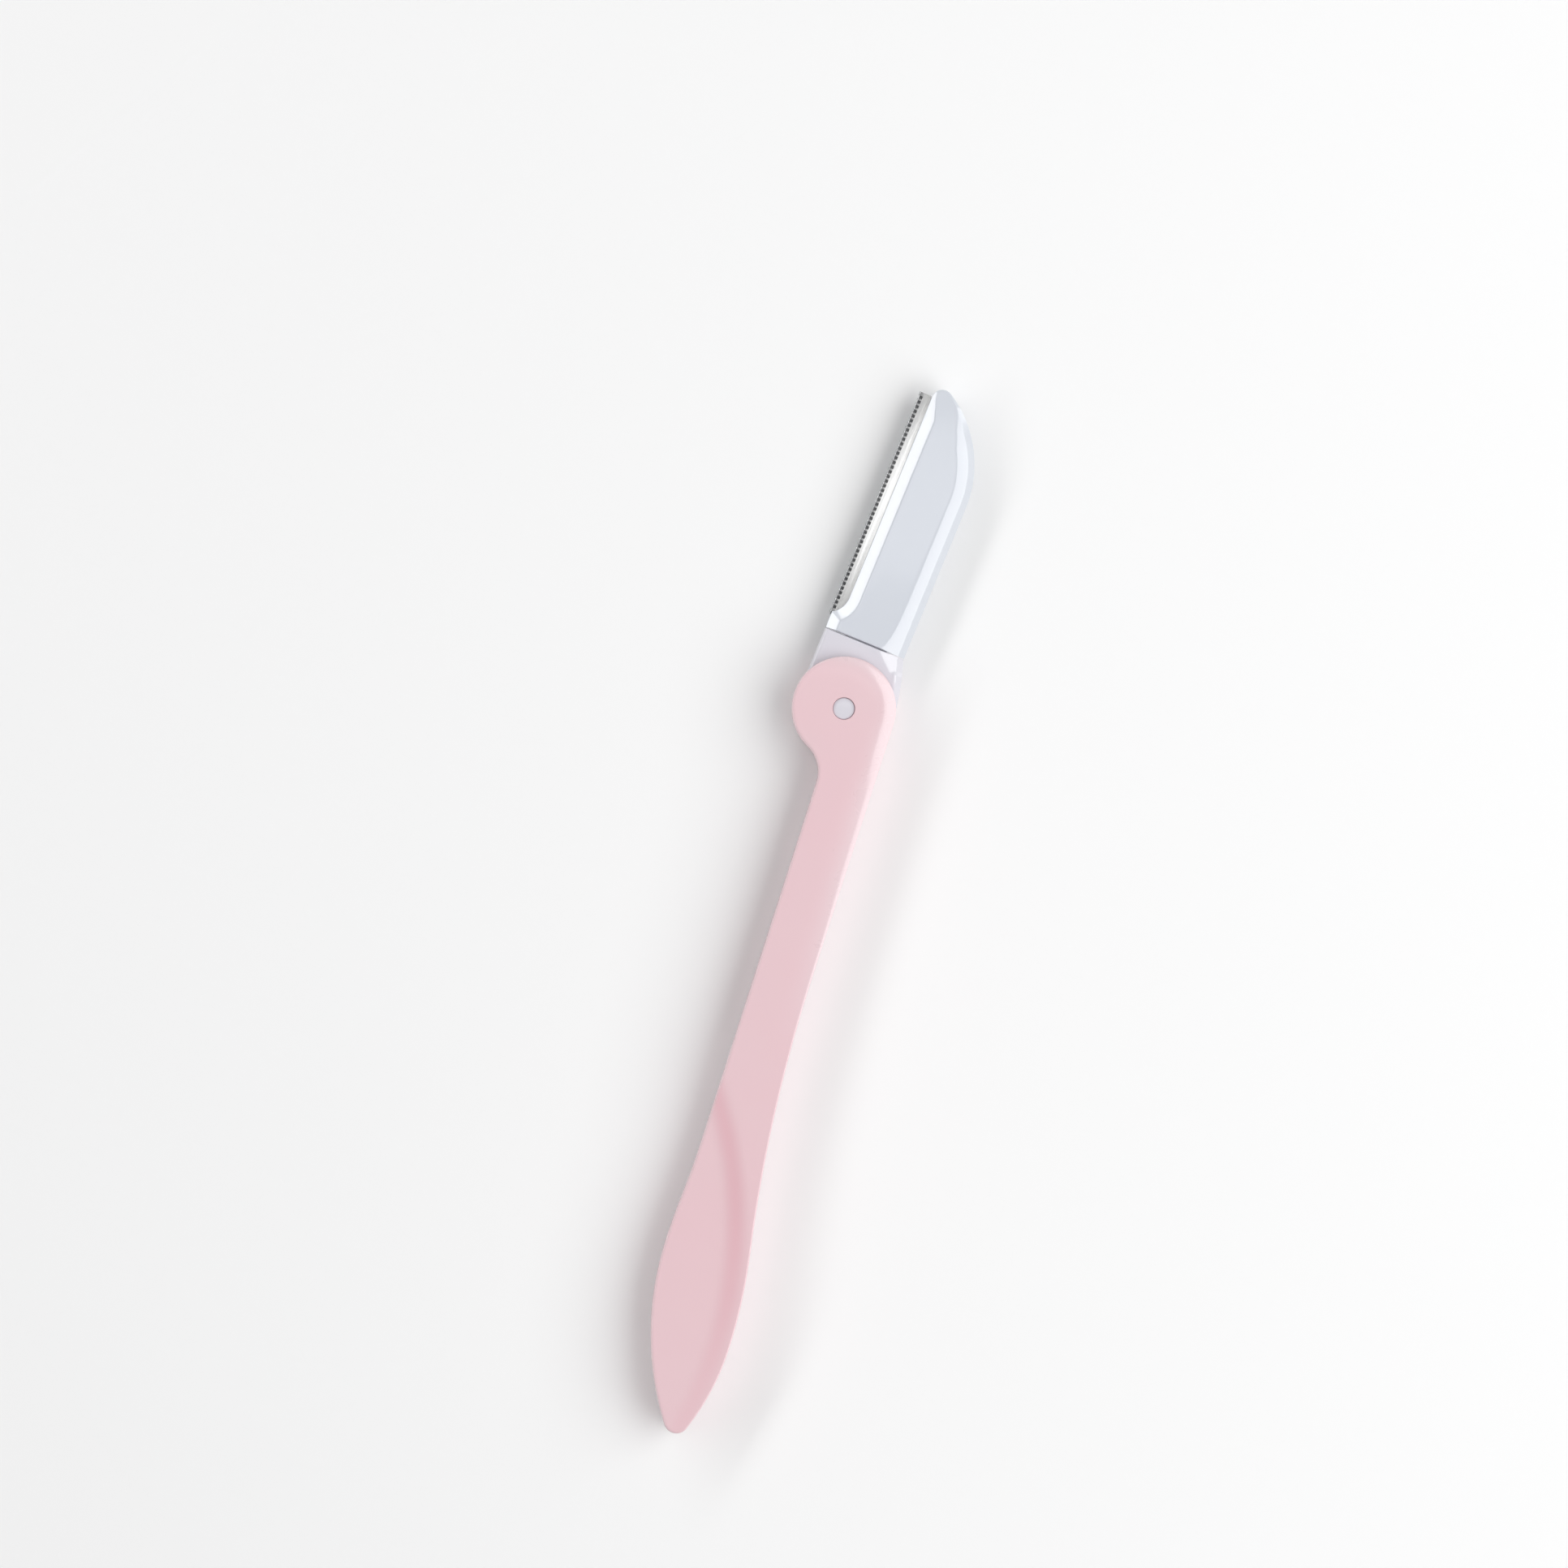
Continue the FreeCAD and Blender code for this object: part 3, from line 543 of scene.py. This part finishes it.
def spun(name, profile):
    """A turned piece: a profile of radius and height points, spun about the fold's axis."""
    points = [(PIVOT.x + radius, PIVOT.y, height) for radius, height in profile]
    edges = [(number, number + 1) for number in range(len(points) - 1)]
    piece = blank(name, points, edges)
    edit(piece, "SELECT")
    bpy.ops.mesh.spin(steps=TURN_STEPS, angle=2 * math.pi, center=PIVOT, axis=(0, 0, 1))
    heal(piece)
    return piece


def slot_cutter():
    """The slot's room, as far as the open side and past it."""
    line = level_line("handle_front_shell", MID_HEIGHT + SLOT_HALF)
    ahead = np.roll(line, -1, axis=0) - np.roll(line, 1, axis=0)
    outward = np.stack((ahead[:, 1], -ahead[:, 0]), axis=1) / np.linalg.norm(ahead, axis=1)[:, None]
    on_outline = reach_to(line, handle_line)[0] < OUTLINE_PLAY
    line = line + outward * np.where(on_outline, SLOT_PAST, 0)[:, None]
    floor_points = [(*place, MID_HEIGHT - SLOT_HALF) for place in line]
    cutter = blank("slot", floor_points, faces=[range(len(line))])
    edit(cutter, "SELECT")
    bpy.ops.mesh.extrude_region_move(TRANSFORM_OT_translate={"value": (0, 0, 2 * SLOT_HALF)})
    heal(cutter)
    return cutter


def bore_cutter():
    """The stepped bore: the pin head's seat at the back, the shank's hole, and a chamfer at the front."""
    low, high = HANDLE_BACK - MM, HANDLE_FACE + MM
    step = PIN_BACK + PIN_HEAD_HEIGHT
    mouth = BORE_RADIUS + BORE_CHAMFER
    seat = [(0, low), (SEAT_RADIUS, low), (SEAT_RADIUS, step), (BORE_RADIUS, step)]
    front = [(BORE_RADIUS, HANDLE_FACE - BORE_CHAMFER), (mouth, HANDLE_FACE), (mouth, high), (0, high)]
    return spun("bore", seat + front)


for shell, node in ((front_shell, "handle_front_shell"), (back_shell, "handle_back_shell")):
    edit(shell)
    shape = bmesh.from_edit_mesh(shell.data)
    for edge in shape.edges:
        on_foot = all(abs(vert.co.z - MID_HEIGHT) < WELD for vert in edge.verts)
        edge.select_set(on_foot)
    bmesh.update_edit_mesh(shell.data)
    bpy.ops.mesh.bevel(offset=PARTING_BEVEL, segments=2)
    deselect()
    carve(shell, slot_cutter())
    carve(shell, bore_cutter())
    settle(shell, "handle", node)
# The rim mark sets where a painted highlight pales the roundings and where their gloss is smoother.
mark(front_shell, "rim", lambda places: turn_of(front_round(places), GRIP_ROUND))
# The dish wall's mark sets where painted shade deepens the pink.
mark(front_shell, "hollow", lambda places: dish(places)[1])
mark(back_shell, "rim", lambda places: turn_of(back_round(places), BACK_ROUND))

# %% [markdown]
# ## Pivot pin
# A headed acetal pin, pushed in from the back. Turned parts are spun from a profile. The front end is
# slightly domed and lies a little below the face, so the bore's wall shades it on the side of the key light.

# %% Pin
PIN_ROUND = 0.12 * MM
PIN_DOME = 0.04 * MM
PIN_DOME_MIDDLE = 0.2
PIN_RECESS = 0.1 * MM


def corner(radius, height, out, up, size):
    """Points round the corner of a profile; out and up say which way the corner faces."""
    turns = np.radians(np.linspace(0, 90, 5))
    return [(radius + out * size * (math.sin(turn) - 1), height + up * size * (math.cos(turn) - 1))
            for turn in turns]


pin_foot = corner(PIN_HEAD_RADIUS, PIN_BACK, 1, -1, PIN_ROUND)
pin_step = PIN_BACK + PIN_HEAD_HEIGHT
pin_shoulder = [(PIN_HEAD_RADIUS, pin_step), (PIN_RADIUS, pin_step)]
pin_top = PIN_FRONT - PIN_RECESS
pin_end = corner(PIN_RADIUS, pin_top - PIN_DOME, 1, 1, PIN_ROUND)[::-1]
pin_dome = [(PIN_RADIUS / 2, pin_top - PIN_DOME_MIDDLE * PIN_DOME), (0, pin_top)]
pin = spun("pin", [(0, PIN_BACK)] + pin_foot + pin_shoulder + pin_end + pin_dome)
settle(pin, "handle", "pivot_pin")

# %% [markdown]
# ## Head covers
# Two glossy covers close over the blade. Each has a crisp bevel along the blade's edge and, on the spine
# side, a shallow facet above a steep flank. The facet flares at the joint and runs out on the tang below it,
# and all of them run out at the tip. The face is the lowest of these surfaces at each place, and the seats
# inside are cut with copies of the pieces that lie there. The back cover is the front one turned over.

# %% Covers
COVER_RIM = 0.7 * MM
EDGE_SECTION = section((0, 50), (0.06, 27), (1.58, 27), (1.64, 0))
FOOT_SECTION = section((0, 82), (0.1, 60), (0.17, 0))
FLANK_SLOPE = math.tan(math.radians(40))
FLANK_WIDTH = 0.95 * MM
FACET_SLOPE = math.tan(math.radians(13))
FACET_WIDTH = 1.5 * MM
FACET_SOFTNESS = 0.08 * MM
FLARE_WIDTH = 1.2 * MM
FLARE_RUN = 2 * MM
FACET_FADE = ((1.5 * MM, 0), (7 * MM, 1))
BEVEL_FADE = ((0.5 * MM, 0.15), (4.5 * MM, 1))
FOOT_PLAY = 0.01 * MM


def along_head(places):
    """How far each place is along the head, from the fold's axis."""
    return (places - np.array(PIVOT.xy)) @ np.array(HEAD_ALONG)


def corners_of(ring, foot):
    """The numbers of a closed line's two foot corners, edge side first."""
    ends = np.flatnonzero(np.abs(along_head(ring) - foot) < FOOT_PLAY)
    across = (ring[ends] - np.array(PIVOT.xy)) @ np.array(HEAD_ACROSS)
    return ends[np.argmin(across)], ends[np.argmax(across)]


cover_ring = level_line("head_front_cover", MID_HEIGHT + COVER_RIM)
cover_foot = along_head(cover_ring).min()
edge_foot, spine_foot = corners_of(cover_ring, cover_foot)
head_tip = int(np.argmax(along_head(cover_ring)))
cover_spine = split_line(cover_ring, spine_foot, head_tip)[0]
cover_edge = split_line(cover_ring, edge_foot, head_tip)[1]
cover_edge_line = read_along(cover_edge, even)
cover_spine_line = read_along(cover_spine, even)
print("joint", round(cover_foot / MM, 2), "mm from the fold")


def spine_drop(reach, width, flank, deepest=np.inf):
    """How far a facet and the flank outside it lower the face, at a distance from the spine's outline."""
    inside = np.minimum(flank + width - reach, width)
    facet = FACET_SLOPE * FACET_SOFTNESS * np.logaddexp(0, inside / FACET_SOFTNESS)
    return np.minimum(facet, deepest) + FLANK_SLOPE * np.clip(flank - reach, 0, None)


def cover_height(places):
    """The front cover's relief: the lowest of its surfaces."""
    past_joint = along_head(places) - cover_foot
    to_tip = along_head(cover_ring).max() - along_head(places)
    width = FACET_WIDTH * np.interp(to_tip, *zip(*FACET_FADE))
    width += FLARE_WIDTH * np.exp(-past_joint / FLARE_RUN)
    size = np.interp(to_tip, *zip(*BEVEL_FADE))
    drop = size * np.interp(reach_to(places, cover_edge_line)[0] / size, *EDGE_SECTION)
    spine = spine_drop(reach_to(places, cover_spine_line)[0], width, FLANK_WIDTH * size)
    drop = np.maximum(drop, spine)
    return HEAD_FACE - np.maximum(drop, np.interp(past_joint, *FOOT_SECTION))


front_cover = moulding("front_cover", cover_edge, cover_spine, rows=300, columns=100,
                       height_at=cover_height, foot=MID_HEIGHT)
close_foot(front_cover)
carve(front_cover, cad_copy("blade_carrier"))
carve(front_cover, cad_copy("blade"))
mark(front_cover, "rim", lambda places: turn_of(HEAD_FACE - cover_height(places), EDGE_SECTION))
back_cover = front_cover.copy()
back_cover.data = front_cover.data.copy()
back_cover.name = "back_cover"
scene.collection.objects.link(back_cover)
edit(back_cover, "SELECT")
bpy.ops.transform.resize(value=(1, 1, -1), center_override=(0, 0, MID_HEIGHT))
settle(front_cover, "blade_head", "head_front_cover")
settle(back_cover, "blade_head", "head_back_cover")

# %% [markdown]
# ## Blade carrier
# The carrier's tang turns on the pin and runs on from the covers, so the covers' facet runs out on its spine
# side. One half is modelled, doubled and turned over. The tongue that goes in between the covers is never
# seen once the razor is closed up, so it is taken from the CAD copy: all below the joint is bisected off,
# and the cut face is drawn back into the tang.

# %% Carrier
TONGUE_HALF = 0.6 * MM
JOINT_GAP = 0.12 * MM
TANG_EDGE_SECTION = section((0, 52), (0.6, 0))
TANG_FACET_RUN = 3.6 * MM
TANG_FACET_END = 2.5 * MM
TANG_END_SLOPE = math.tan(math.radians(25))
TANG_BORE_RADIUS = 1.55 * MM
TONGUE_ROOT = 1 * MM

carrier_line = level_line("blade_carrier", MID_HEIGHT + TONGUE_HALF)
neck = cover_foot - JOINT_GAP
edge_corner, spine_corner = corners_of(carrier_line, neck)
tang_line = carrier_line[edge_corner:spine_corner + 1]
tang_bottom = int(np.argmin(along_head(tang_line)))
tang_edge = tang_line[:tang_bottom + 1]
tang_spine = tang_line[tang_bottom:][::-1]
tang_edge_line = read_along(tang_edge, even)
tang_spine_line = read_along(tang_spine, even)


def tang_height(places):
    """The tang's relief: the end of the covers' facet on the spine side, and small roundings elsewhere."""
    below_joint = neck - along_head(places)
    width = (FACET_WIDTH + FLARE_WIDTH) * np.clip(1 - below_joint / TANG_FACET_RUN, 0, 1)
    drop = np.interp(reach_to(places, tang_edge_line)[0], *TANG_EDGE_SECTION)
    deepest = TANG_END_SLOPE * np.clip(TANG_FACET_END - below_joint, 0, None)
    spine = spine_drop(reach_to(places, tang_spine_line)[0], width, FLANK_WIDTH, deepest)
    drop = np.maximum(drop, spine)
    return HEAD_FACE - np.maximum(drop, np.interp(below_joint, *FOOT_SECTION))


def tongue_blank():
    """The tongue, with a root that reaches back into the tang."""
    tongue = cad_copy("blade_carrier")
    joint = PIVOT.xy + HEAD_ALONG * (neck + JOINT_GAP / 2)
    edit(tongue, "SELECT")
    along = HEAD_ALONG.to_3d()
    bpy.ops.mesh.bisect(plane_co=joint.to_3d(), plane_no=along, use_fill=True, clear_inner=True,
                        threshold=WELD)
    bpy.ops.mesh.extrude_region_move(TRANSFORM_OT_translate={"value": along * -TONGUE_ROOT})
    heal(tongue)
    return tongue


carrier = moulding("carrier", tang_edge, tang_spine, rows=112, columns=52,
                   height_at=tang_height, foot=MID_HEIGHT)
bpy.ops.mesh.select_all(action="SELECT")
bpy.ops.mesh.duplicate()
bpy.ops.transform.resize(value=(1, 1, -1), center_override=(0, 0, MID_HEIGHT))
heal(carrier)
carve(carrier, tongue_blank(), "UNION")
bore_sides = [(TANG_BORE_RADIUS, HANDLE_BACK), (TANG_BORE_RADIUS, HANDLE_FACE)]
tang_bore = [(0, HANDLE_BACK)] + bore_sides + [(0, HANDLE_FACE)]
carve(carrier, spun("tang_bore", tang_bore))
settle(carrier, "blade_head", "blade_carrier")
mark(carrier, "rim", lambda places: turn_of(HEAD_FACE - tang_height(places), TANG_EDGE_SECTION))

# %% [markdown]
# ## Shared effects
# Three effects turn up in more than one finish, so each is a node group. Mould skin is what any moulded
# plastic has: a slow drift of tint, shallow sinks that make reflections waver, faint handling smudges in
# the gloss, and the fine grain of the spark-eroded mould. The edge effect says where the roundings take a
# painted highlight, paler in colour, and a smoother gloss. Steel lines are the fine parallel scratches of
# rolled and ground strip. Noise on Object coordinates gives all of them at a real size.

# %% Node helpers
NOISE_LOW = 0.3
NOISE_HIGH = 0.7


def add(tree, kind, inputs=None, **settings):
    """Add a shader node; inputs are values to set or sockets to link."""
    node = tree.nodes.new("ShaderNode" + kind)
    for name, value in settings.items():
        setattr(node, name, value)
    for name, value in (inputs or {}).items():
        if isinstance(value, bpy.types.NodeSocket):
            tree.links.new(value, node.inputs[name])
        else:
            node.inputs[name].default_value = value
    return node


def effect(name, inputs, outputs):
    """A node group with named float and vector inputs and float outputs, and its two end nodes."""
    tree = bpy.data.node_groups.new(name, "ShaderNodeTree")
    for socket, kind in inputs:
        tree.interface.new_socket(socket, in_out="INPUT", socket_type="NodeSocket" + kind)
    for socket in outputs:
        tree.interface.new_socket(socket, in_out="OUTPUT", socket_type="NodeSocketFloat")
    return tree, tree.nodes.new("NodeGroupInput"), tree.nodes.new("NodeGroupOutput")


def noise_of(tree, place, size, detail, distortion=0):
    """A noise whose features are about a size in mm."""
    return add(tree, "TexNoise", {"Vector": place, "Scale": 1 / (size * MM), "Detail": detail,
                                  "Distortion": distortion})


def spread(tree, noise):
    """A noise's values spread over the whole of 0 to 1."""
    widened = add(tree, "MapRange", {"Value": noise.outputs["Fac"], "From Min": NOISE_LOW,
                                     "From Max": NOISE_HIGH})
    return widened.outputs["Result"]


# %% Mould skin
mould_skin, given, result = effect("mould_skin", [("Place", "Vector")],
                                   ["Drift", "Sink", "Smudge", "Grain"])
for output, size, detail, distortion in (("Drift", 14, 2, 0), ("Sink", 5, 1, 0), ("Smudge", 3, 4, 1.2),
                                         ("Grain", 0.16, 2, 0)):
    noise = noise_of(mould_skin, given.outputs["Place"], size, detail, distortion)
    mould_skin.links.new(spread(mould_skin, noise), result.inputs[output])
print("mould_skin:", len(mould_skin.nodes), "nodes")

# %% Handled edge
PATCH_LEAST = 0.8
# Painted highlight: the roundings' mark, broken into patches, pales the colour there; it also smooths the gloss.
edge_sheen_and_polish, given, result = effect("edge_sheen_and_polish", [("Place", "Vector"), ("Rim", "Float")], ["Rubbed"])
patches = noise_of(edge_sheen_and_polish, given.outputs["Place"], size=4, detail=3)
patchy = add(edge_sheen_and_polish, "MapRange", {"Value": patches.outputs["Fac"], "From Min": 0.35,
                                        "From Max": 0.65, "To Min": PATCH_LEAST, "To Max": 1})
sheen_and_polish = add(edge_sheen_and_polish, "Math", {0: given.outputs["Rim"], 1: patchy.outputs["Result"]},
             operation="MULTIPLY")
edge_sheen_and_polish.links.new(sheen_and_polish.outputs["Value"], result.inputs["Rubbed"])
print("edge_sheen_and_polish:", len(edge_sheen_and_polish.nodes), "nodes")

# %% Steel lines
LINE_STRETCH = 0.02
steel_lines, given, result = effect("steel_lines", [("Place", "Vector")], ["Lines", "Shade"])
stretched = add(steel_lines, "Mapping", {"Vector": given.outputs["Place"], "Scale": (1, LINE_STRETCH, 1)})
for output, size, detail in (("Lines", 0.06, 3), ("Shade", 0.5, 2)):
    noise = noise_of(steel_lines, stretched.outputs["Vector"], size, detail)
    steel_lines.links.new(spread(steel_lines, noise), result.inputs[output])
print("steel_lines:", len(steel_lines.nodes), "nodes")

# %% [markdown]
# ## Plastics
# Three plastics: satin pink ABS, cool white acetal and polished cool white ABS. One function lays the
# shared effects into a plastic, and each call gives its colours, gloss and grain.

# %% Plastics
SINK_DEPTH = 0.02 * MM
GRAIN_DEPTH = 0.01 * MM
DRIFT_SHARE = 0.12
DISH_SHADE_SHARE = 0.5
HIGHLIGHT_SHARE = 0.6
SMUDGE_DULLS = 1.3
RUBBING_POLISHES = -0.2


def plastic(name, colour, drift_and_shade_colour, painted_highlight, gloss, grain, coat_roughness):
    """A moulded plastic: deeper with painted shade on the dish wall, paler with a painted highlight and polished
    on the roundings, with a fine grain.
    """
    paint = bpy.data.materials.new(name)
    paint.use_nodes = True
    tree = paint.node_tree
    shader = tree.nodes["Principled BSDF"]
    place = add(tree, "TexCoord").outputs["Object"]
    rim = add(tree, "Attribute", attribute_name="rim").outputs["Fac"]
    hollow = add(tree, "Attribute", attribute_name="hollow").outputs["Fac"]
    skin = add(tree, "Group", node_tree=mould_skin)
    tree.links.new(place, skin.inputs["Place"])
    edge = add(tree, "Group", node_tree=edge_sheen_and_polish)
    tree.links.new(place, edge.inputs["Place"])
    tree.links.new(rim, edge.inputs["Rim"])
    drift = add(tree, "Math", {0: skin.outputs["Drift"], 1: DRIFT_SHARE}, operation="MULTIPLY")
    # Painted shade: on the dish wall a deeper pink is mixed in, on top of the random drift of tint.
    drift_and_shade = add(tree, "Math", {0: hollow, 1: DISH_SHADE_SHARE, 2: drift.outputs["Value"]},
                operation="MULTIPLY_ADD")
    body = add(tree, "Mix", {"Factor": drift_and_shade.outputs["Value"]}, data_type="RGBA")
    body.inputs[6].default_value = (*colour, 1)
    body.inputs[7].default_value = (*drift_and_shade_colour, 1)
    # Painted highlight: the paler colour is mixed in on the roundings.
    share = add(tree, "Math", {0: edge.outputs["Rubbed"], 1: HIGHLIGHT_SHARE}, operation="MULTIPLY")
    highlighted = add(tree, "Mix", {"Factor": share.outputs["Value"]}, data_type="RGBA")
    tree.links.new(body.outputs[2], highlighted.inputs[6])
    highlighted.inputs[7].default_value = (*painted_highlight, 1)
    tree.links.new(highlighted.outputs[2], shader.inputs["Base Color"])
    smudged = add(tree, "MapRange", {"Value": skin.outputs["Smudge"], "To Min": gloss,
                                     "To Max": gloss * SMUDGE_DULLS})
    polished = add(tree, "Math", {0: edge.outputs["Rubbed"], 1: gloss * RUBBING_POLISHES,
                                  2: smudged.outputs["Result"]}, operation="MULTIPLY_ADD")
    tree.links.new(polished.outputs["Value"], shader.inputs["Roughness"])
    sink = add(tree, "Bump", {"Height": skin.outputs["Sink"], "Strength": 1, "Distance": SINK_DEPTH})
    bump = add(tree, "Bump", {"Height": skin.outputs["Grain"], "Strength": grain, "Distance": GRAIN_DEPTH,
                              "Normal": sink.outputs["Normal"]})
    tree.links.new(bump.outputs["Normal"], shader.inputs["Normal"])
    shader.inputs["Coat Weight"].default_value = 1
    shader.inputs["Coat Roughness"].default_value = coat_roughness
    print(name, len(tree.nodes), "nodes")
    return paint


# Each plastic's deeper colour serves the random drift of tint and, on the pink, the painted shade on the dish
# wall; its paler colour is the painted highlight on the roundings.
finishes = {
    "handle_plastic": plastic("pink_abs", colour=(0.83, 0.595, 0.632), drift_and_shade_colour=(0.86, 0.47, 0.53),
                              painted_highlight=(0.81, 0.67, 0.70), gloss=0.28, grain=0.16, coat_roughness=0.14),
    "white_plastic": plastic("white_acetal", colour=(0.715, 0.70, 0.76), drift_and_shade_colour=(0.655, 0.645, 0.715),
                             painted_highlight=(0.80, 0.79, 0.84), gloss=0.2, grain=0.12, coat_roughness=0.08),
    "head_gloss": plastic("white_abs", colour=(0.665, 0.695, 0.755), drift_and_shade_colour=(0.62, 0.655, 0.715),
                          painted_highlight=(0.77, 0.80, 0.85), gloss=0.12, grain=0.06, coat_roughness=0.04),
}

# %% [markdown]
# ## Steels
# The blade is a rolled strip, bright on its flat, with painted shade that darkens its ground bevel at the edge;
# the guard is foil, bright on its flat, with painted shade darkening it round its windows. Both have fine lines
# along the strip, so their place is turned into the head's own axes first.

# %% Steels
LINE_SHADE = 0.2
LINE_STRENGTH = 0.3
LINE_DEPTH = 0.003 * MM
DULL_ROUGHER = 0.25


def steel(name, colour, painted_shade, gloss, shade_from, shade_blend, shade_share):
    """A strip steel with lines along the head, and painted shade on the cutting side of a line across the head."""
    paint = bpy.data.materials.new(name)
    paint.use_nodes = True
    tree = paint.node_tree
    shader = tree.nodes["Principled BSDF"]
    shader.inputs["Metallic"].default_value = 1
    place = add(tree, "TexCoord").outputs["Object"]
    shift = Vector((-PIVOT.xy.dot(HEAD_ACROSS), -PIVOT.xy.dot(HEAD_ALONG), -PIVOT.z))
    turned = add(tree, "Mapping", {"Vector": place, "Location": shift, "Rotation": (0, 0, HEAD_LEAN)})
    lines = add(tree, "Group", node_tree=steel_lines)
    tree.links.new(turned.outputs["Vector"], lines.inputs["Place"])
    shade = add(tree, "Math", {0: lines.outputs["Shade"], 1: LINE_SHADE}, operation="MULTIPLY")
    across = add(tree, "SeparateXYZ", {"Vector": turned.outputs["Vector"]}).outputs["X"]
    # Painted shade: on the cutting side of the line the steel is mixed towards a dark colour, standing in for the
    # shade in the guard's windows.
    bevel = add(tree, "MapRange", {"Value": across, "From Min": shade_from + shade_blend,
                                   "From Max": shade_from - shade_blend, "To Max": shade_share})
    tone_and_shade = add(tree, "Math", {0: shade.outputs["Value"], 1: bevel.outputs["Result"]}, operation="ADD")
    body = add(tree, "Mix", {"Factor": tone_and_shade.outputs["Value"]}, data_type="RGBA")
    body.inputs[6].default_value = (*colour, 1)
    body.inputs[7].default_value = (*painted_shade, 1)
    tree.links.new(body.outputs[2], shader.inputs["Base Color"])
    rough = add(tree, "MapRange", {"Value": tone_and_shade.outputs["Value"], "To Min": gloss,
                                   "To Max": gloss + DULL_ROUGHER})
    tree.links.new(rough.outputs["Result"], shader.inputs["Roughness"])
    bump = add(tree, "Bump", {"Height": lines.outputs["Lines"], "Strength": LINE_STRENGTH,
                              "Distance": LINE_DEPTH})
    tree.links.new(bump.outputs["Normal"], shader.inputs["Normal"])
    print(name, len(tree.nodes), "nodes")
    return paint


# The dark colours of the blade's ground bevel and of the guard's window zone are painted shade.
finishes["blade_steel"] = steel("ground_steel", colour=(0.80, 0.81, 0.82), painted_shade=(0.10, 0.105, 0.11),
                                gloss=0.16, shade_from=-5.9 * MM, shade_blend=0.04 * MM, shade_share=0.8)
finishes["guard_steel"] = steel("foil_steel", colour=(0.79, 0.79, 0.785), painted_shade=(0.30, 0.305, 0.32),
                                gloss=0.05, shade_from=-6.42 * MM, shade_blend=0.15 * MM, shade_share=0.5)

# %% [markdown]
# ## Dressing
# The blade and the guard keep their CAD shapes, which are right, and get their steels. The modelled pieces
# get the plastic of the slot that they stand for.

# %% Dressing
for part in frame["record"]["subparts"]:
    node = frame["nodes"][part["node"]]
    node.data.materials.clear()
    node.data.materials.append(finishes[part["material_slot"]])
for piece, slot in ((front_shell, "handle_plastic"), (back_shell, "handle_plastic"),
                    (pin, "white_plastic"), (carrier, "white_plastic"),
                    (front_cover, "head_gloss"), (back_cover, "head_gloss")):
    piece.data.materials.clear()
    piece.data.materials.append(finishes[slot])
    print(piece.name, "in", finishes[slot].name)
